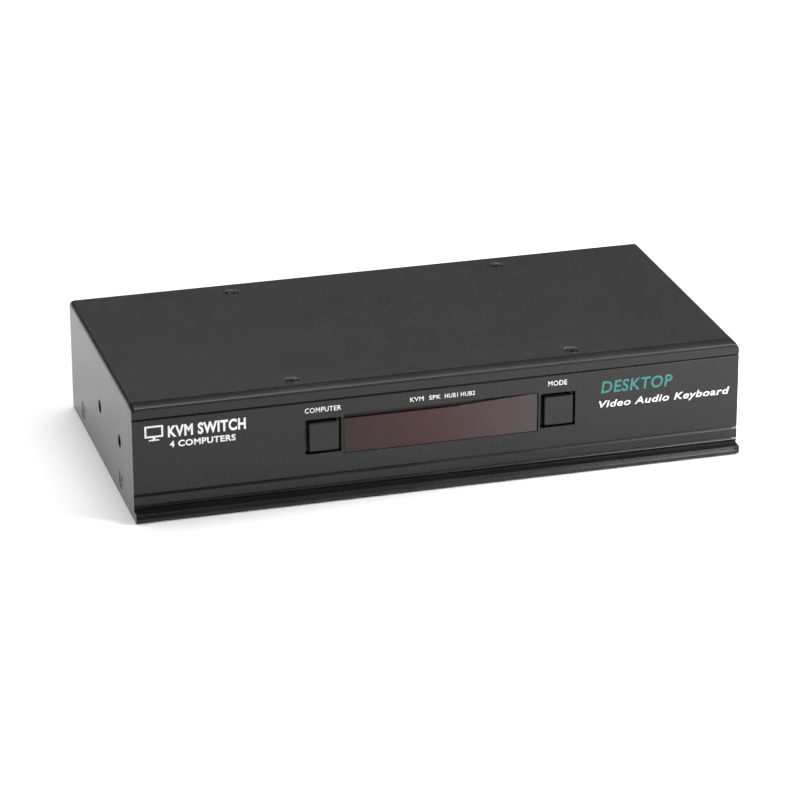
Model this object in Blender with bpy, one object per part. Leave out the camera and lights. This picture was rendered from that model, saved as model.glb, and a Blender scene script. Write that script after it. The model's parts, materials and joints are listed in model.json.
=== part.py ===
"""A desktop keyboard, video and mouse switch for four computers, as a bench assembly of separate pieces.

An extruded front panel with two sprung buttons and a tinted display window closes a folded steel tray
and its folded cover. Inside are two stacked circuit boards, and a third board behind the front panel.
X runs to the right as seen from the front, the front faces -Y, Z is up, and the lengths are in metres.
The origin is at the middle of the underside.
"""

import math

import bmesh
import bpy
from mathutils import Matrix

# Case
CASE_WIDTH = 0.270
CASE_HEIGHT = 0.051
CASE_DEPTH = 0.133  # from the main front face to the back edge of the cover
SHEET = 0.0012
BEND_RADIUS = 0.0024  # outside of the cover's folds
GAP = 0.0003  # between pieces that touch

# Front panel: an extrusion with a foot along its bottom edge
PANEL_DEPTH = 0.0063
PANEL_WALL = 0.0028  # what is left in front of the milled pocket
FOOT_REACH = 0.004
FOOT_HEIGHT = 0.0039
NOSE_RADIUS = 0.0015
COVE_TOP = 0.0056
TOP_ROUND = 0.0016
LOW_GROOVES = [(0.0061, 0.0069, 0.0005), (0.0105, 0.0119, 0.0008)]  # low edge, high edge, depth
HIGH_GROOVE = (0.0061, 0.0052, 0.0007)  # low and high edges below the top, depth
TOP_GROOVE = (0.0021, 0.0026, 0.0003)  # near edge, far edge, depth
POCKET_HALF = 0.118
POCKET_LOW = 0.006
POCKET_TOP_WALL = 0.0045

# Display window and buttons
WINDOW_WIDTH = 0.0868
WINDOW_HEIGHT = 0.018
WINDOW_Z = 0.029
WINDOW_RECESS = 0.0004
PANE_LIP = 0.003  # how far the pane reaches behind the panel, above and below
PANE_PLATE = 0.0015
BUTTON_OPENING = 0.0158
BUTTON_WEB = 0.001  # between the window and a button's opening
BUTTON_Z = 0.02915
BUTTON_SIZE = 0.0135
BUTTON_PROUD = 0.0012
BUTTON_BEVEL = 0.0006
BUTTON_TRAVEL = 0.0006
BUTTON_FLANGE = 0.001
BUTTON_STEM = 0.001
STEM_HALF = 0.003
FLANGE_LAP = 0.00055  # how far the flange reaches behind the opening's edge

# Screws, as M3
THREAD_RADIUS = 0.0015
SCREW_LENGTH = 0.005
FLAT_HEAD_RADIUS = 0.00275
PAN_HEAD_RADIUS = 0.0028
PAN_HEAD_HEIGHT = 0.0018
RECESS_LENGTH = 0.0029
RECESS_WIDTH = 0.0007
RECESS_DEPTH = 0.0008
HEAD_SINK = 0.0002
COVER_SCREW_X = 0.0624
COVER_SCREW_FRONT = 0.0124  # behind the main front face
COVER_SCREW_BACK = 0.0101  # in front of the back edge
SIDE_SCREW_Z = 0.0078
SIDE_SCREW_FRONT = 0.0269
SIDE_SCREW_BACK = 0.025
PANEL_SCREW_Z = 0.026
ROUND_SIDES = 20

# Holes for the rack brackets, and the nuts behind them
BRACKET_HOLE_RADIUS = 0.00285
BRACKET_HOLES = [(0.0274, 0.0255), (0.0692, 0.0250)]  # behind the main front face, height
NUT_HALF = 0.004
NUT_THICKNESS = 0.003
NUT_BORE_RADIUS = 0.0021

# Tray
SIDE_FLANGE_HEIGHT = 0.014
TOP_FLANGE = 0.010
BOSS_RADIUS = 0.004

# Boards
BOARD = 0.0016
BOARD_MARGIN = 0.003  # between a board's ends and the tray's side flanges
MAIN_BOARD_Z = 0.0055
MAIN_BOARD_DEPTH = 0.100
SPACER_LENGTH = 0.0183
SPACER_HALF = 0.00275
SPACER_STUD = 0.004
SPACER_BORE_DEPTH = 0.007
SPACER_INSET = 0.008  # from the board's ends and from its front edge
SPACER_BACK = 0.026  # from the board's back edge
VIDEO_BOARD_DEPTH = 0.094
FRONT_BOARD_MARGIN = 0.0077  # from the switches to the board's ends
FRONT_BOARD_LOW = 0.014
FRONT_BOARD_HIGH = 0.043
FRONT_BOSS_RADIUS = 0.003
FRONT_BOSS_INSET = 0.0045
FRONT_BOSS_Z = 0.0175

# Display and switches on the front board
DISPLAY_WIDTH = 0.0304
DISPLAY_HEIGHT = 0.014
DISPLAY_DEPTH = 0.0064
DISPLAY_X = 0.0004
DISPLAY_AIR = 0.0004
SWITCH_SIZE = 0.012
SWITCH_DEPTH = 0.004
SWITCH_BORE_RADIUS = 0.0037
SWITCH_BORE_DEPTH = 0.0024
PLUNGER_RADIUS = 0.0034
PLUNGER_DEPTH_INSIDE = 0.0008
WALL_CLEARANCE = 0.0005

# Rear sockets
SOCKET_REACH = 0.0045  # how far the video sockets stand out at the back
VIDEO_SOCKET_X = [0.060, 0.020, -0.020, -0.060, -0.100]  # console first, then computers 1 to 4
VIDEO_FLANGE = (0.037, 0.0124, 0.001)
VIDEO_HOUSING = (0.030, 0.0116, 0.012)
VIDEO_NOSE = (0.0254, 0.0092)
VIDEO_SHELL_WALL = 0.0006
VIDEO_POCKET = 0.0075
VIDEO_BLOCK_GAP = 0.0009
USB_B_SIZE = (0.012, 0.0109, 0.0165)
USB_B_MOUTH = (0.0084, 0.0078, 0.0016, 0.009)  # width, height, cut corner, depth
USB_B_TONGUE = (0.0056, 0.0032)
USB_B_SHIFT = -0.008
USB_A_SIZE = (0.0145, 0.0156, 0.0175)
USB_A_MOUTH = (0.0125, 0.0051, 0.010)  # width, height, depth
USB_A_TONGUE = (0.011, 0.0018)
USB_A_LOWS = (0.0016, 0.0089)  # the two mouths' lower edges
TONGUE_SETBACK = 0.001
AUDIO_SIZE = (0.009, 0.008, 0.012)
AUDIO_NOSE_RADIUS = 0.0035
AUDIO_BORE_RADIUS = 0.0018
AUDIO_SHIFT = 0.009
AUDIO_REACH = 0.001
POWER_X = 0.115
POWER_SIZE = (0.009, 0.011, 0.0135)
POWER_BORE_RADIUS = 0.0032
POWER_BORE_DEPTH = 0.009
POWER_PIN_RADIUS = 0.001
OPTIONS_X = 0.091
OPTIONS_SIZE = (0.0159, 0.0133, 0.018)
OPTIONS_MOUTH = (0.0118, 0.0070, 0.012)
OPTIONS_LATCH = (0.0062, 0.0022)

# On the boards
CHIP_SIZE = (0.027, 0.027, 0.0024)
CHIP_X = -0.010
CHIP_FRONT = 0.034  # from the video board's front edge
HEAT_SINK_BASE = 0.002
HEAT_SINK_HEIGHT = 0.008
HEAT_SINK_FINS = 7
LINK_SIZE = (0.044, 0.007)
LINK_X = 0.050
LINK_FRONT = 0.030
RIBBON_WIDTH = 0.026
RIBBON_X = 0.020
RIBBON_HALF = 0.0005
RIBBON_BEND = 0.006
RIBBON_PLUG = (0.006, 0.006)
RIBBON_FRONT_Z = 0.023
RIBBON_INSET = 0.0015

# Places that follow from the sizes above
FRONT_Y = FOOT_REACH - (FOOT_REACH + CASE_DEPTH + SOCKET_REACH) / 2  # the main front face
BACK_Y = FRONT_Y + CASE_DEPTH
PANEL_BACK_Y = FRONT_Y + PANEL_DEPTH
SHELL_Y = PANEL_BACK_Y + GAP  # front edge of the tray and the cover
TRAY_HALF = CASE_WIDTH / 2 - SHEET - GAP
TRAY_TOP = CASE_HEIGHT - SHEET - GAP
BOARD_HALF = TRAY_HALF - SHEET - BOARD_MARGIN
BOARD_BACK_Y = BACK_Y - SHEET - GAP
MAIN_TOP = MAIN_BOARD_Z + BOARD
VIDEO_BOARD_Z = MAIN_TOP + GAP + SPACER_LENGTH + GAP
VIDEO_TOP = VIDEO_BOARD_Z + BOARD
PANE_Y = FRONT_Y + PANEL_WALL + GAP
DISPLAY_Y = PANE_Y + PANE_PLATE + DISPLAY_AIR
FRONT_BOARD_Y = DISPLAY_Y + DISPLAY_DEPTH + GAP
BUTTON_X = WINDOW_WIDTH / 2 + BUTTON_WEB + BUTTON_OPENING / 2
FRONT_BOARD_HALF = BUTTON_X + SWITCH_SIZE / 2 + FRONT_BOARD_MARGIN
HOLE_RADIUS = THREAD_RADIUS + GAP
OVER = 0.001  # how far a cutter runs past the face it cuts


# Building blocks


def clear_scene():
    for scene_object in list(bpy.data.objects):
        bpy.data.objects.remove(scene_object, do_unlink=True)


def make_material(name, colour, roughness, metallic=0.0):
    material = bpy.data.materials.new(name)
    material.use_nodes = True
    shader = material.node_tree.nodes["Principled BSDF"]
    shader.inputs["Base Color"].default_value = (*colour, 1.0)
    shader.inputs["Roughness"].default_value = roughness
    shader.inputs["Metallic"].default_value = metallic
    return material


def add_object(name, mesh, location=(0, 0, 0), rotation=(0, 0, 0)):
    placed = bpy.data.objects.new(name, mesh)
    placed.location = location
    placed.rotation_euler = [math.radians(angle) for angle in rotation]
    bpy.context.scene.collection.objects.link(placed)
    return placed


def mesh_from(bm, name):
    bmesh.ops.recalc_face_normals(bm, faces=bm.faces)
    mesh = bpy.data.meshes.new(name)
    bm.to_mesh(mesh)
    bm.free()
    mesh.shade_smooth()
    mesh.set_sharp_from_angle(angle=math.radians(30))
    return mesh


def box(low, high):
    """A block between two corners, as an object."""
    bm = bmesh.new()
    bmesh.ops.create_cube(bm, size=1.0)
    for vertex in bm.verts:
        vertex.co = [low[k] + (high[k] - low[k]) * (vertex.co[k] + 0.5) for k in range(3)]
    return add_object("piece", mesh_from(bm, "piece"))


def push_out(bm, face):
    """Extrudes a face, still in its place, and gives the new face and its corners."""
    grown = bmesh.ops.extrude_face_region(bm, geom=[face, *face.edges])["geom"]
    new_face = next(item for item in grown if isinstance(item, bmesh.types.BMFace))
    return new_face, [item for item in grown if isinstance(item, bmesh.types.BMVert)]


def prism(outline, axis, start, stop):
    """An outline pushed along an axis. It is drawn in (y, z) for X, (x, z) for Y and (x, y) for Z."""
    turn = {"X": lambda a, b, c: (c, a, b), "Y": lambda a, b, c: (a, c, b), "Z": lambda a, b, c: (a, b, c)}
    bm = bmesh.new()
    face = bm.faces.new([bm.verts.new(turn[axis](a, b, start)) for a, b in outline])
    bmesh.ops.translate(bm, verts=push_out(bm, face)[1], vec=turn[axis](0, 0, stop - start))
    return add_object("piece", mesh_from(bm, "piece"))


def stack(rings, sides=ROUND_SIDES):
    """A stack of regular rings (height, radius) on +Z. A four or six-sided ring's radius is to its flat."""
    flats = 1 / math.cos(math.pi / sides) if sides <= 6 else 1.0
    height, radius = rings[0]
    bm = bmesh.new()
    bmesh.ops.create_circle(bm, cap_ends=True, segments=sides, radius=radius * flats)
    bmesh.ops.rotate(bm, verts=bm.verts, matrix=Matrix.Rotation(math.pi / sides, 3, "Z"))
    bmesh.ops.translate(bm, verts=bm.verts, vec=(0, 0, height))
    bm.faces.ensure_lookup_table()
    face = bm.faces[0]
    for next_height, next_radius in rings[1:]:
        face, corners = push_out(bm, face)
        bmesh.ops.scale(bm, verts=corners, vec=(next_radius / radius, next_radius / radius, 1))
        bmesh.ops.translate(bm, verts=corners, vec=(0, 0, next_height - height))
        height, radius = next_height, next_radius
    return add_object("piece", mesh_from(bm, "piece"))


def move(scene_object, location, rotation=(0, 0, 0)):
    """Moves an object's mesh, leaving the object itself at the origin."""
    turn = [math.radians(angle) for angle in rotation]
    matrix = Matrix.Translation(location)
    for angle, axis in zip(turn, "XYZ"):
        matrix = matrix @ Matrix.Rotation(angle, 4, axis)
    scene_object.data.transform(matrix)
    return scene_object


def combine(target, others, operation):
    """Applies a Boolean with each of the other objects, and removes them."""
    for other in others:
        modifier = target.modifiers.new("combine", "BOOLEAN")
        modifier.operation = operation
        modifier.object = other
        graph = bpy.context.evaluated_depsgraph_get()
        finished = bpy.data.meshes.new_from_object(target.evaluated_get(graph))
        target.modifiers.clear()
        target.data = finished
        bpy.data.objects.remove(other, do_unlink=True)
    target.data.shade_smooth()
    target.data.set_sharp_from_angle(angle=math.radians(30))
    return target


def cut(target, cutters):
    return combine(target, cutters, "DIFFERENCE")


def join(target, others):
    return combine(target, others, "UNION")


def name_piece(scene_object, name, material):
    scene_object.name = name
    scene_object.data.name = name
    scene_object.data.materials.clear()
    scene_object.data.materials.append(material)
    return scene_object


def place_copies(template, places, material):
    """Stands copies of a piece at the named places, each (name, location, rotation)."""
    mesh = template.data
    mesh.materials.clear()
    mesh.materials.append(material)
    bpy.data.objects.remove(template, do_unlink=True)
    for name, location, rotation in places:
        add_object(name, mesh, location, rotation)


def arc(centre, radius_a, radius_b, start, stop, steps):
    """Points along an elliptical arc, with angles in degrees."""
    angles = [math.radians(start + (stop - start) * k / steps) for k in range(steps + 1)]
    return [(centre[0] + radius_a * math.cos(a), centre[1] + radius_b * math.sin(a)) for a in angles]


def round_hole(x, y, z, radius, length, rotation=(0, 0, 0)):
    """A cutter centred on a place, along Z unless it is turned."""
    return move(stack([(-length / 2, radius), (length / 2, radius)]), (x, y, z), rotation)


# Screws


def cross_recess(top):
    arms = []
    for half_x, half_y in ((RECESS_LENGTH / 2, RECESS_WIDTH / 2), (RECESS_WIDTH / 2, RECESS_LENGTH / 2)):
        arms.append(box((-half_x, -half_y, top - RECESS_DEPTH), (half_x, half_y, top + OVER)))
    return arms


def flat_screw():
    """A countersunk screw whose head is flush at its origin and faces +Z."""
    cone = FLAT_HEAD_RADIUS - THREAD_RADIUS
    rings = [(-SCREW_LENGTH, THREAD_RADIUS), (-cone, THREAD_RADIUS), (0, FLAT_HEAD_RADIUS)]
    return cut(stack(rings), cross_recess(0))


def flat_screw_cutter():
    cone = FLAT_HEAD_RADIUS - THREAD_RADIUS
    rings = [
        (-SCREW_LENGTH - OVER, HOLE_RADIUS),
        (-cone, HOLE_RADIUS),
        (OVER, HOLE_RADIUS + cone + OVER),
    ]
    return stack(rings)


def pan_screw():
    """A pan-head screw that seats at its origin, with its head towards +Z."""
    rings = [
        (-SCREW_LENGTH, THREAD_RADIUS),
        (0, THREAD_RADIUS),
        (0, PAN_HEAD_RADIUS),
        (PAN_HEAD_HEIGHT * 0.6, PAN_HEAD_RADIUS),
        (PAN_HEAD_HEIGHT, PAN_HEAD_RADIUS * 0.72),
    ]
    return cut(stack(rings), cross_recess(PAN_HEAD_HEIGHT))


def cover_screw_places():
    places = []
    for y in (FRONT_Y + COVER_SCREW_FRONT, BACK_Y - COVER_SCREW_BACK):
        for x in (-COVER_SCREW_X, COVER_SCREW_X):
            places.append((f"cover_screw_{len(places) + 1}", (x, y, CASE_HEIGHT - HEAD_SINK), (0, 0, 0)))
    return places


def side_screw_places():
    places = []
    for side in (-1, 1):
        for y in (FRONT_Y + SIDE_SCREW_FRONT, BACK_Y - SIDE_SCREW_BACK):
            spot = (side * (CASE_WIDTH / 2 - HEAD_SINK), y, SIDE_SCREW_Z)
            places.append((f"side_screw_{len(places) + 1}", spot, (0, 90 * side, 0)))
    return places


def panel_screw_places():
    """Screws through the tray's front wall into the solid ends of the front panel."""
    x = (POCKET_HALF + TRAY_HALF) / 2
    seat = SHELL_Y + SHEET + GAP
    spots = [(side * x, seat, PANEL_SCREW_Z) for side in (-1, 1)]
    return [(f"panel_screw_{k + 1}", spot, (-90, 0, 0)) for k, spot in enumerate(spots)]


def front_board_screw_places():
    x = FRONT_BOARD_HALF - FRONT_BOSS_INSET
    seat = FRONT_BOARD_Y + BOARD + GAP
    spots = [(side * x, seat, FRONT_BOSS_Z) for side in (-1, 1)]
    return [(f"front_board_screw_{k + 1}", spot, (-90, 0, 0)) for k, spot in enumerate(spots)]


def spacer_spots():
    """The four places of the spacers that carry the video board."""
    x = BOARD_HALF - SPACER_INSET
    front = BOARD_BACK_Y - VIDEO_BOARD_DEPTH + SPACER_INSET
    back = BOARD_BACK_Y - SPACER_BACK
    return [(side * x, y) for y in (front, back) for side in (-1, 1)]


def board_screw_places():
    spots = [(x, y, VIDEO_TOP + GAP) for x, y in spacer_spots()]
    return [(f"board_screw_{k + 1}", spot, (0, 0, 0)) for k, spot in enumerate(spots)]


def build_screws(screw_material, zinc):
    place_copies(flat_screw(), cover_screw_places() + side_screw_places(), screw_material)
    places = panel_screw_places() + front_board_screw_places() + board_screw_places()
    place_copies(pan_screw(), places, zinc)


# Front panel


def groove(low, high, depth):
    """A shallow channel in the front face, with sloping sides, from its low edge to its high one."""
    slope = depth / 4
    return [(0, low), (-depth, low + slope), (-depth, high - slope), (0, high)]


def panel_outline():
    """The extrusion's outline: how far a point is in front of the main face, and its height."""
    points = [(-PANEL_DEPTH, 0)]
    points += arc((FOOT_REACH - NOSE_RADIUS, NOSE_RADIUS), NOSE_RADIUS, NOSE_RADIUS, -90, 0, 4)
    points += [(FOOT_REACH, FOOT_HEIGHT - 0.0004)]
    points += arc((FOOT_REACH - 0.0004, COVE_TOP), FOOT_REACH - 0.0004, COVE_TOP - FOOT_HEIGHT, 270, 180, 5)
    high_groove = (CASE_HEIGHT - HIGH_GROOVE[0], CASE_HEIGHT - HIGH_GROOVE[1], HIGH_GROOVE[2])
    for low, high, depth in [*LOW_GROOVES, high_groove]:
        points += groove(low, high, depth)
    points += arc((-TOP_ROUND, CASE_HEIGHT - TOP_ROUND), TOP_ROUND, TOP_ROUND, 0, 90, 5)
    near, far, depth = TOP_GROOVE
    points += [(-near, CASE_HEIGHT), (-(near + far) / 2, CASE_HEIGHT - depth), (-far, CASE_HEIGHT)]
    points += [(-PANEL_DEPTH, CASE_HEIGHT)]
    return [(FRONT_Y - forward, height) for forward, height in points]


def corner_cutter(side):
    """Rounds a top corner of the front panel, in line with the cover's fold."""
    edge = CASE_WIDTH / 2
    curve = arc((edge - BEND_RADIUS, CASE_HEIGHT - BEND_RADIUS), BEND_RADIUS, BEND_RADIUS, 90, 0, 5)
    outer = [
        (edge + OVER, CASE_HEIGHT - BEND_RADIUS),
        (edge + OVER, CASE_HEIGHT + OVER),
        (edge - BEND_RADIUS, CASE_HEIGHT + OVER),
    ]
    outline = [(side * x, z) for x, z in curve + outer]
    return prism(outline, "Y", FRONT_Y - OVER, PANEL_BACK_Y + OVER)


def square_opening(x, z, half_x, half_z, start, stop):
    return box((x - half_x, start, z - half_z), (x + half_x, stop, z + half_z))


def build_front_panel(material):
    panel = prism(panel_outline(), "X", -CASE_WIDTH / 2, CASE_WIDTH / 2)
    pocket_y = FRONT_Y + PANEL_WALL
    cutters = [corner_cutter(-1), corner_cutter(1)]
    pocket_top = CASE_HEIGHT - POCKET_TOP_WALL
    cutters.append(box((-POCKET_HALF, pocket_y, POCKET_LOW), (POCKET_HALF, PANEL_BACK_Y + OVER, pocket_top)))
    start = FRONT_Y - OVER
    stop = pocket_y + OVER
    cutters.append(square_opening(0, WINDOW_Z, WINDOW_WIDTH / 2, WINDOW_HEIGHT / 2, start, stop))
    for side in (-1, 1):
        half = BUTTON_OPENING / 2
        cutters.append(square_opening(side * BUTTON_X, BUTTON_Z, half, half, start, stop))
    for _, (x, y, z), _ in panel_screw_places():
        bottom = y - SCREW_LENGTH - GAP
        length = PANEL_BACK_Y + OVER - bottom
        cutters.append(round_hole(x, bottom + length / 2, z, HOLE_RADIUS, length, (90, 0, 0)))
    name_piece(cut(panel, cutters), "front_panel", material)


def build_window(material):
    """A pane with a lip above and below it, behind the panel's wall."""
    front = FRONT_Y + WINDOW_RECESS
    back = PANE_Y + PANE_PLATE
    pane = WINDOW_HEIGHT / 2 - GAP
    lip = pane + PANE_LIP
    upper = [(front, pane), (PANE_Y, pane), (PANE_Y, lip), (back, lip)]
    outline = [(y, WINDOW_Z + z) for y, z in upper] + [(y, WINDOW_Z - z) for y, z in reversed(upper)]
    half = WINDOW_WIDTH / 2 - GAP
    name_piece(prism(outline, "X", -half, half), "display_window", material)


def button_depths():
    """Distances behind the main face: the flange's front and back, and the stem's end."""
    flange = PANEL_WALL + GAP
    return flange, flange + BUTTON_FLANGE, flange + BUTTON_FLANGE + BUTTON_STEM


def build_buttons(cap_material, switch_material, plunger_material):
    """Each button's cap, and the switch behind it with its plunger. Cap and plunger travel together."""
    flange, flange_back, stem_end = button_depths()
    half = BUTTON_SIZE / 2
    flange_half = BUTTON_OPENING / 2 + FLANGE_LAP
    switch_front = FRONT_BOARD_Y - GAP - SWITCH_DEPTH - FRONT_Y
    rings = [
        (BUTTON_PROUD, half - BUTTON_BEVEL),
        (BUTTON_PROUD - BUTTON_BEVEL, half),
        (-flange, half),
        (-flange, flange_half),
        (-flange_back, flange_half),
        (-flange_back, STEM_HALF),
        (-stem_end, STEM_HALF),
    ]
    plunger_end = -switch_front - PLUNGER_DEPTH_INSIDE
    plunger_rings = [(-stem_end - GAP, PLUNGER_RADIUS), (plunger_end, PLUNGER_RADIUS)]
    for name, side in (("computer", -1), ("mode", 1)):
        spot = (side * BUTTON_X, FRONT_Y, BUTTON_Z)
        cap = stack(rings, 4)
        plunger = stack(plunger_rings)
        pair = [(cap, "button", cap_material), (plunger, "plunger", plunger_material)]
        for piece, suffix, material in pair:
            move(piece, (0, 0, 0), (90, 0, 0))
            piece.location = spot
            name_piece(piece, f"{name}_{suffix}", material)
        body = square_opening(
            spot[0], BUTTON_Z, SWITCH_SIZE / 2, SWITCH_SIZE / 2, FRONT_Y + switch_front, FRONT_BOARD_Y - GAP
        )
        length = SWITCH_BORE_DEPTH + OVER
        middle = FRONT_Y + switch_front + SWITCH_BORE_DEPTH - length / 2
        bore = round_hole(spot[0], middle, BUTTON_Z, SWITCH_BORE_RADIUS, length, (90, 0, 0))
        name_piece(cut(body, [bore]), f"{name}_switch", switch_material)


# Cover and tray


def build_cover(material):
    """One sheet folded down at both sides."""
    edge = CASE_WIDTH / 2
    top = CASE_HEIGHT
    inner = BEND_RADIUS - SHEET
    fold = (edge - BEND_RADIUS, top - BEND_RADIUS)
    right = [(edge, 0)] + arc(fold, BEND_RADIUS, BEND_RADIUS, 0, 90, 5)
    right_inner = arc(fold, inner, inner, 90, 0, 5) + [(edge - SHEET, 0)]
    left = [(-x, z) for x, z in reversed(right)]
    left_inner = [(-x, z) for x, z in reversed(right_inner)]
    cover = prism(right + left + left_inner + right_inner, "Y", SHELL_Y, BACK_Y)
    cutters = []
    for _, location, rotation in cover_screw_places() + side_screw_places():
        cutters.append(move(flat_screw_cutter(), location, rotation))
    for side in (-1, 1):
        for behind, height in BRACKET_HOLES:
            spot = (side * edge, FRONT_Y + behind, height)
            cutters.append(round_hole(*spot, BRACKET_HOLE_RADIUS, 4 * SHEET, (0, 90, 0)))
    name_piece(cut(cover, cutters), "top_cover", material)


def build_bracket_nuts(material):
    """Nuts on the inside of the cover's sides, which the rack bracket's screws go into."""
    rings = [(0, NUT_HALF), (NUT_THICKNESS, NUT_HALF)]
    nut = cut(stack(rings, 6), [round_hole(0, 0, NUT_THICKNESS / 2, NUT_BORE_RADIUS, 2 * NUT_THICKNESS)])
    places = []
    for side in (-1, 1):
        for behind, height in BRACKET_HOLES:
            spot = (side * TRAY_HALF, FRONT_Y + behind, height)
            places.append((f"bracket_nut_{len(places) + 1}", spot, (0, -90 * side, 0)))
    place_copies(nut, places, material)


def wall_openings():
    """What passes through the tray's front wall: the display, the two switches and the panel's screws."""
    start = SHELL_Y - OVER
    stop = SHELL_Y + SHEET + OVER
    half_x = DISPLAY_WIDTH / 2 + WALL_CLEARANCE
    half_z = DISPLAY_HEIGHT / 2 + WALL_CLEARANCE
    openings = [square_opening(DISPLAY_X, WINDOW_Z, half_x, half_z, start, stop)]
    half = SWITCH_SIZE / 2 + WALL_CLEARANCE
    for side in (-1, 1):
        openings.append(square_opening(side * BUTTON_X, BUTTON_Z, half, half, start, stop))
    for _, (x, _, z), _ in panel_screw_places():
        openings.append(round_hole(x, SHELL_Y, z, HOLE_RADIUS, 6 * SHEET, (90, 0, 0)))
    return openings


def tray_corner_cutter(side):
    """Takes off a top corner of the tray's walls, clear of the inside of the cover's fold."""
    leg = BEND_RADIUS - SHEET + OVER
    corner = (TRAY_HALF + OVER, TRAY_TOP + OVER)
    outline = [corner, (corner[0] - leg - OVER, corner[1]), (corner[0], corner[1] - leg - OVER)]
    return prism([(side * x, z) for x, z in outline], "Y", SHELL_Y - OVER, BACK_Y + OVER)


def build_tray(material):
    """Floor, front wall and back wall with flanges along their tops, and low flanges at the sides."""
    tray = box((-TRAY_HALF, SHELL_Y, 0), (TRAY_HALF, BACK_Y, TRAY_TOP))
    inner_front = SHELL_Y + SHEET
    inner_back = BACK_Y - SHEET
    inner_side = TRAY_HALF - SHEET
    under_flange = TRAY_TOP - SHEET
    wide = TRAY_HALF + OVER
    mouth_front = SHELL_Y + TOP_FLANGE
    mouth_back = BACK_Y - TOP_FLANGE
    hollows = [
        box((-inner_side, inner_front, SHEET), (inner_side, inner_back, under_flange)),
        box((-wide, inner_front, SIDE_FLANGE_HEIGHT), (wide, inner_back, under_flange)),
        box((-wide, mouth_front, under_flange - OVER), (wide, mouth_back, TRAY_TOP + OVER)),
    ]
    cut(tray, hollows)
    boss_top = MAIN_BOARD_Z - GAP
    bosses = []
    for x, y in spacer_spots():
        bosses.append(move(stack([(SHEET / 2, BOSS_RADIUS), (boss_top, BOSS_RADIUS)]), (x, y, 0)))
    for _, (x, _, z), _ in front_board_screw_places():
        ends = (inner_front - SHEET / 2, FRONT_BOARD_Y - GAP)
        post = stack([(0, FRONT_BOSS_RADIUS), (ends[1] - ends[0], FRONT_BOSS_RADIUS)])
        bosses.append(move(post, (x, ends[0], z), (-90, 0, 0)))
    join(tray, bosses)
    cutters = wall_openings() + rear_openings()
    cutters += [tray_corner_cutter(-1), tray_corner_cutter(1)]
    for _, location, rotation in cover_screw_places() + side_screw_places():
        cutters.append(move(flat_screw_cutter(), location, rotation))
    for x, y in spacer_spots():
        low = SHEET
        length = boss_top + OVER - low
        cutters.append(round_hole(x, y, low + length / 2, HOLE_RADIUS, length))
    for _, (x, y, z), _ in front_board_screw_places():
        bottom = y - SCREW_LENGTH - GAP
        length = FRONT_BOARD_Y + OVER - bottom
        cutters.append(round_hole(x, bottom + length / 2, z, HOLE_RADIUS, length, (90, 0, 0)))
    name_piece(cut(tray, cutters), "base_tray", material)


# Sockets: each mouth faces +Y, with the back wall's outer face at y = 0 and the board at z = 0


def shell_outline(width, height, grow=0.0):
    """The video socket's mouth: a rectangle whose lower corners are cut off."""
    half = width / 2 + grow
    tall = height / 2 + grow
    corner = 0.0024
    upper = [(-half, tall), (half, tall)]
    lower = [(half, corner - tall), (half - corner, -tall), (corner - half, -tall), (-half, corner - tall)]
    return upper + lower


def shift_outline(outline, x, z):
    return [(x + a, z + b) for a, b in outline]


def video_centre():
    return VIDEO_FLANGE[1] / 2


def video_socket():
    centre = video_centre()
    flange_front = -SHEET - GAP
    width, height, thick = VIDEO_FLANGE
    socket = box((-width / 2, flange_front - thick, 0), (width / 2, flange_front, height))
    width, height, depth = VIDEO_HOUSING
    inside = flange_front - thick + OVER / 2
    housing = box((-width / 2, flange_front - thick - depth, GAP), (width / 2, inside, height))
    nose_outline = shift_outline(shell_outline(*VIDEO_NOSE), 0, centre)
    nose = prism(nose_outline, "Y", flange_front - thick / 2, SOCKET_REACH)
    join(socket, [housing, nose])
    pocket_outline = shift_outline(shell_outline(*VIDEO_NOSE, -VIDEO_SHELL_WALL), 0, centre)
    floor = SOCKET_REACH - VIDEO_POCKET
    cut(socket, [prism(pocket_outline, "Y", floor, SOCKET_REACH + OVER)])
    block_outline = shift_outline(shell_outline(*VIDEO_NOSE, -VIDEO_SHELL_WALL - VIDEO_BLOCK_GAP), 0, centre)
    return join(socket, [prism(block_outline, "Y", floor - OVER, SOCKET_REACH - 2 * VIDEO_SHELL_WALL)])


def usb_b_socket():
    width, height, depth = USB_B_SIZE
    socket = box((-width / 2, -depth, 0), (width / 2, GAP, height))
    mouth_width, mouth_height, corner, mouth_depth = USB_B_MOUTH
    half = mouth_width / 2
    low = (height - mouth_height) / 2
    high = low + mouth_height
    mouth = [(-half, low), (half, low), (half, high - corner), (half - corner, high)]
    mouth += [(corner - half, high), (-half, high - corner)]
    cut(socket, [prism(mouth, "Y", -mouth_depth, GAP + OVER)])
    half, tall = USB_B_TONGUE[0] / 2, USB_B_TONGUE[1] / 2
    middle = height / 2
    tongue = box((-half, -mouth_depth - OVER, middle - tall), (half, -TONGUE_SETBACK, middle + tall))
    return join(socket, [tongue])


def usb_a_socket():
    """Two sockets in one shell, one above the other."""
    width, height, depth = USB_A_SIZE
    socket = box((-width / 2, -depth, 0), (width / 2, GAP, height))
    mouth_width, mouth_height, mouth_depth = USB_A_MOUTH
    half = mouth_width / 2
    for low in USB_A_LOWS:
        cut(socket, [box((-half, -mouth_depth, low), (half, GAP + OVER, low + mouth_height))])
    half, thick = USB_A_TONGUE[0] / 2, USB_A_TONGUE[1]
    tongues = []
    for low in USB_A_LOWS:
        z = low + mouth_height / 2
        tongues.append(box((-half, -mouth_depth - OVER, z), (half, -TONGUE_SETBACK, z + thick)))
    return join(socket, tongues)


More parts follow.
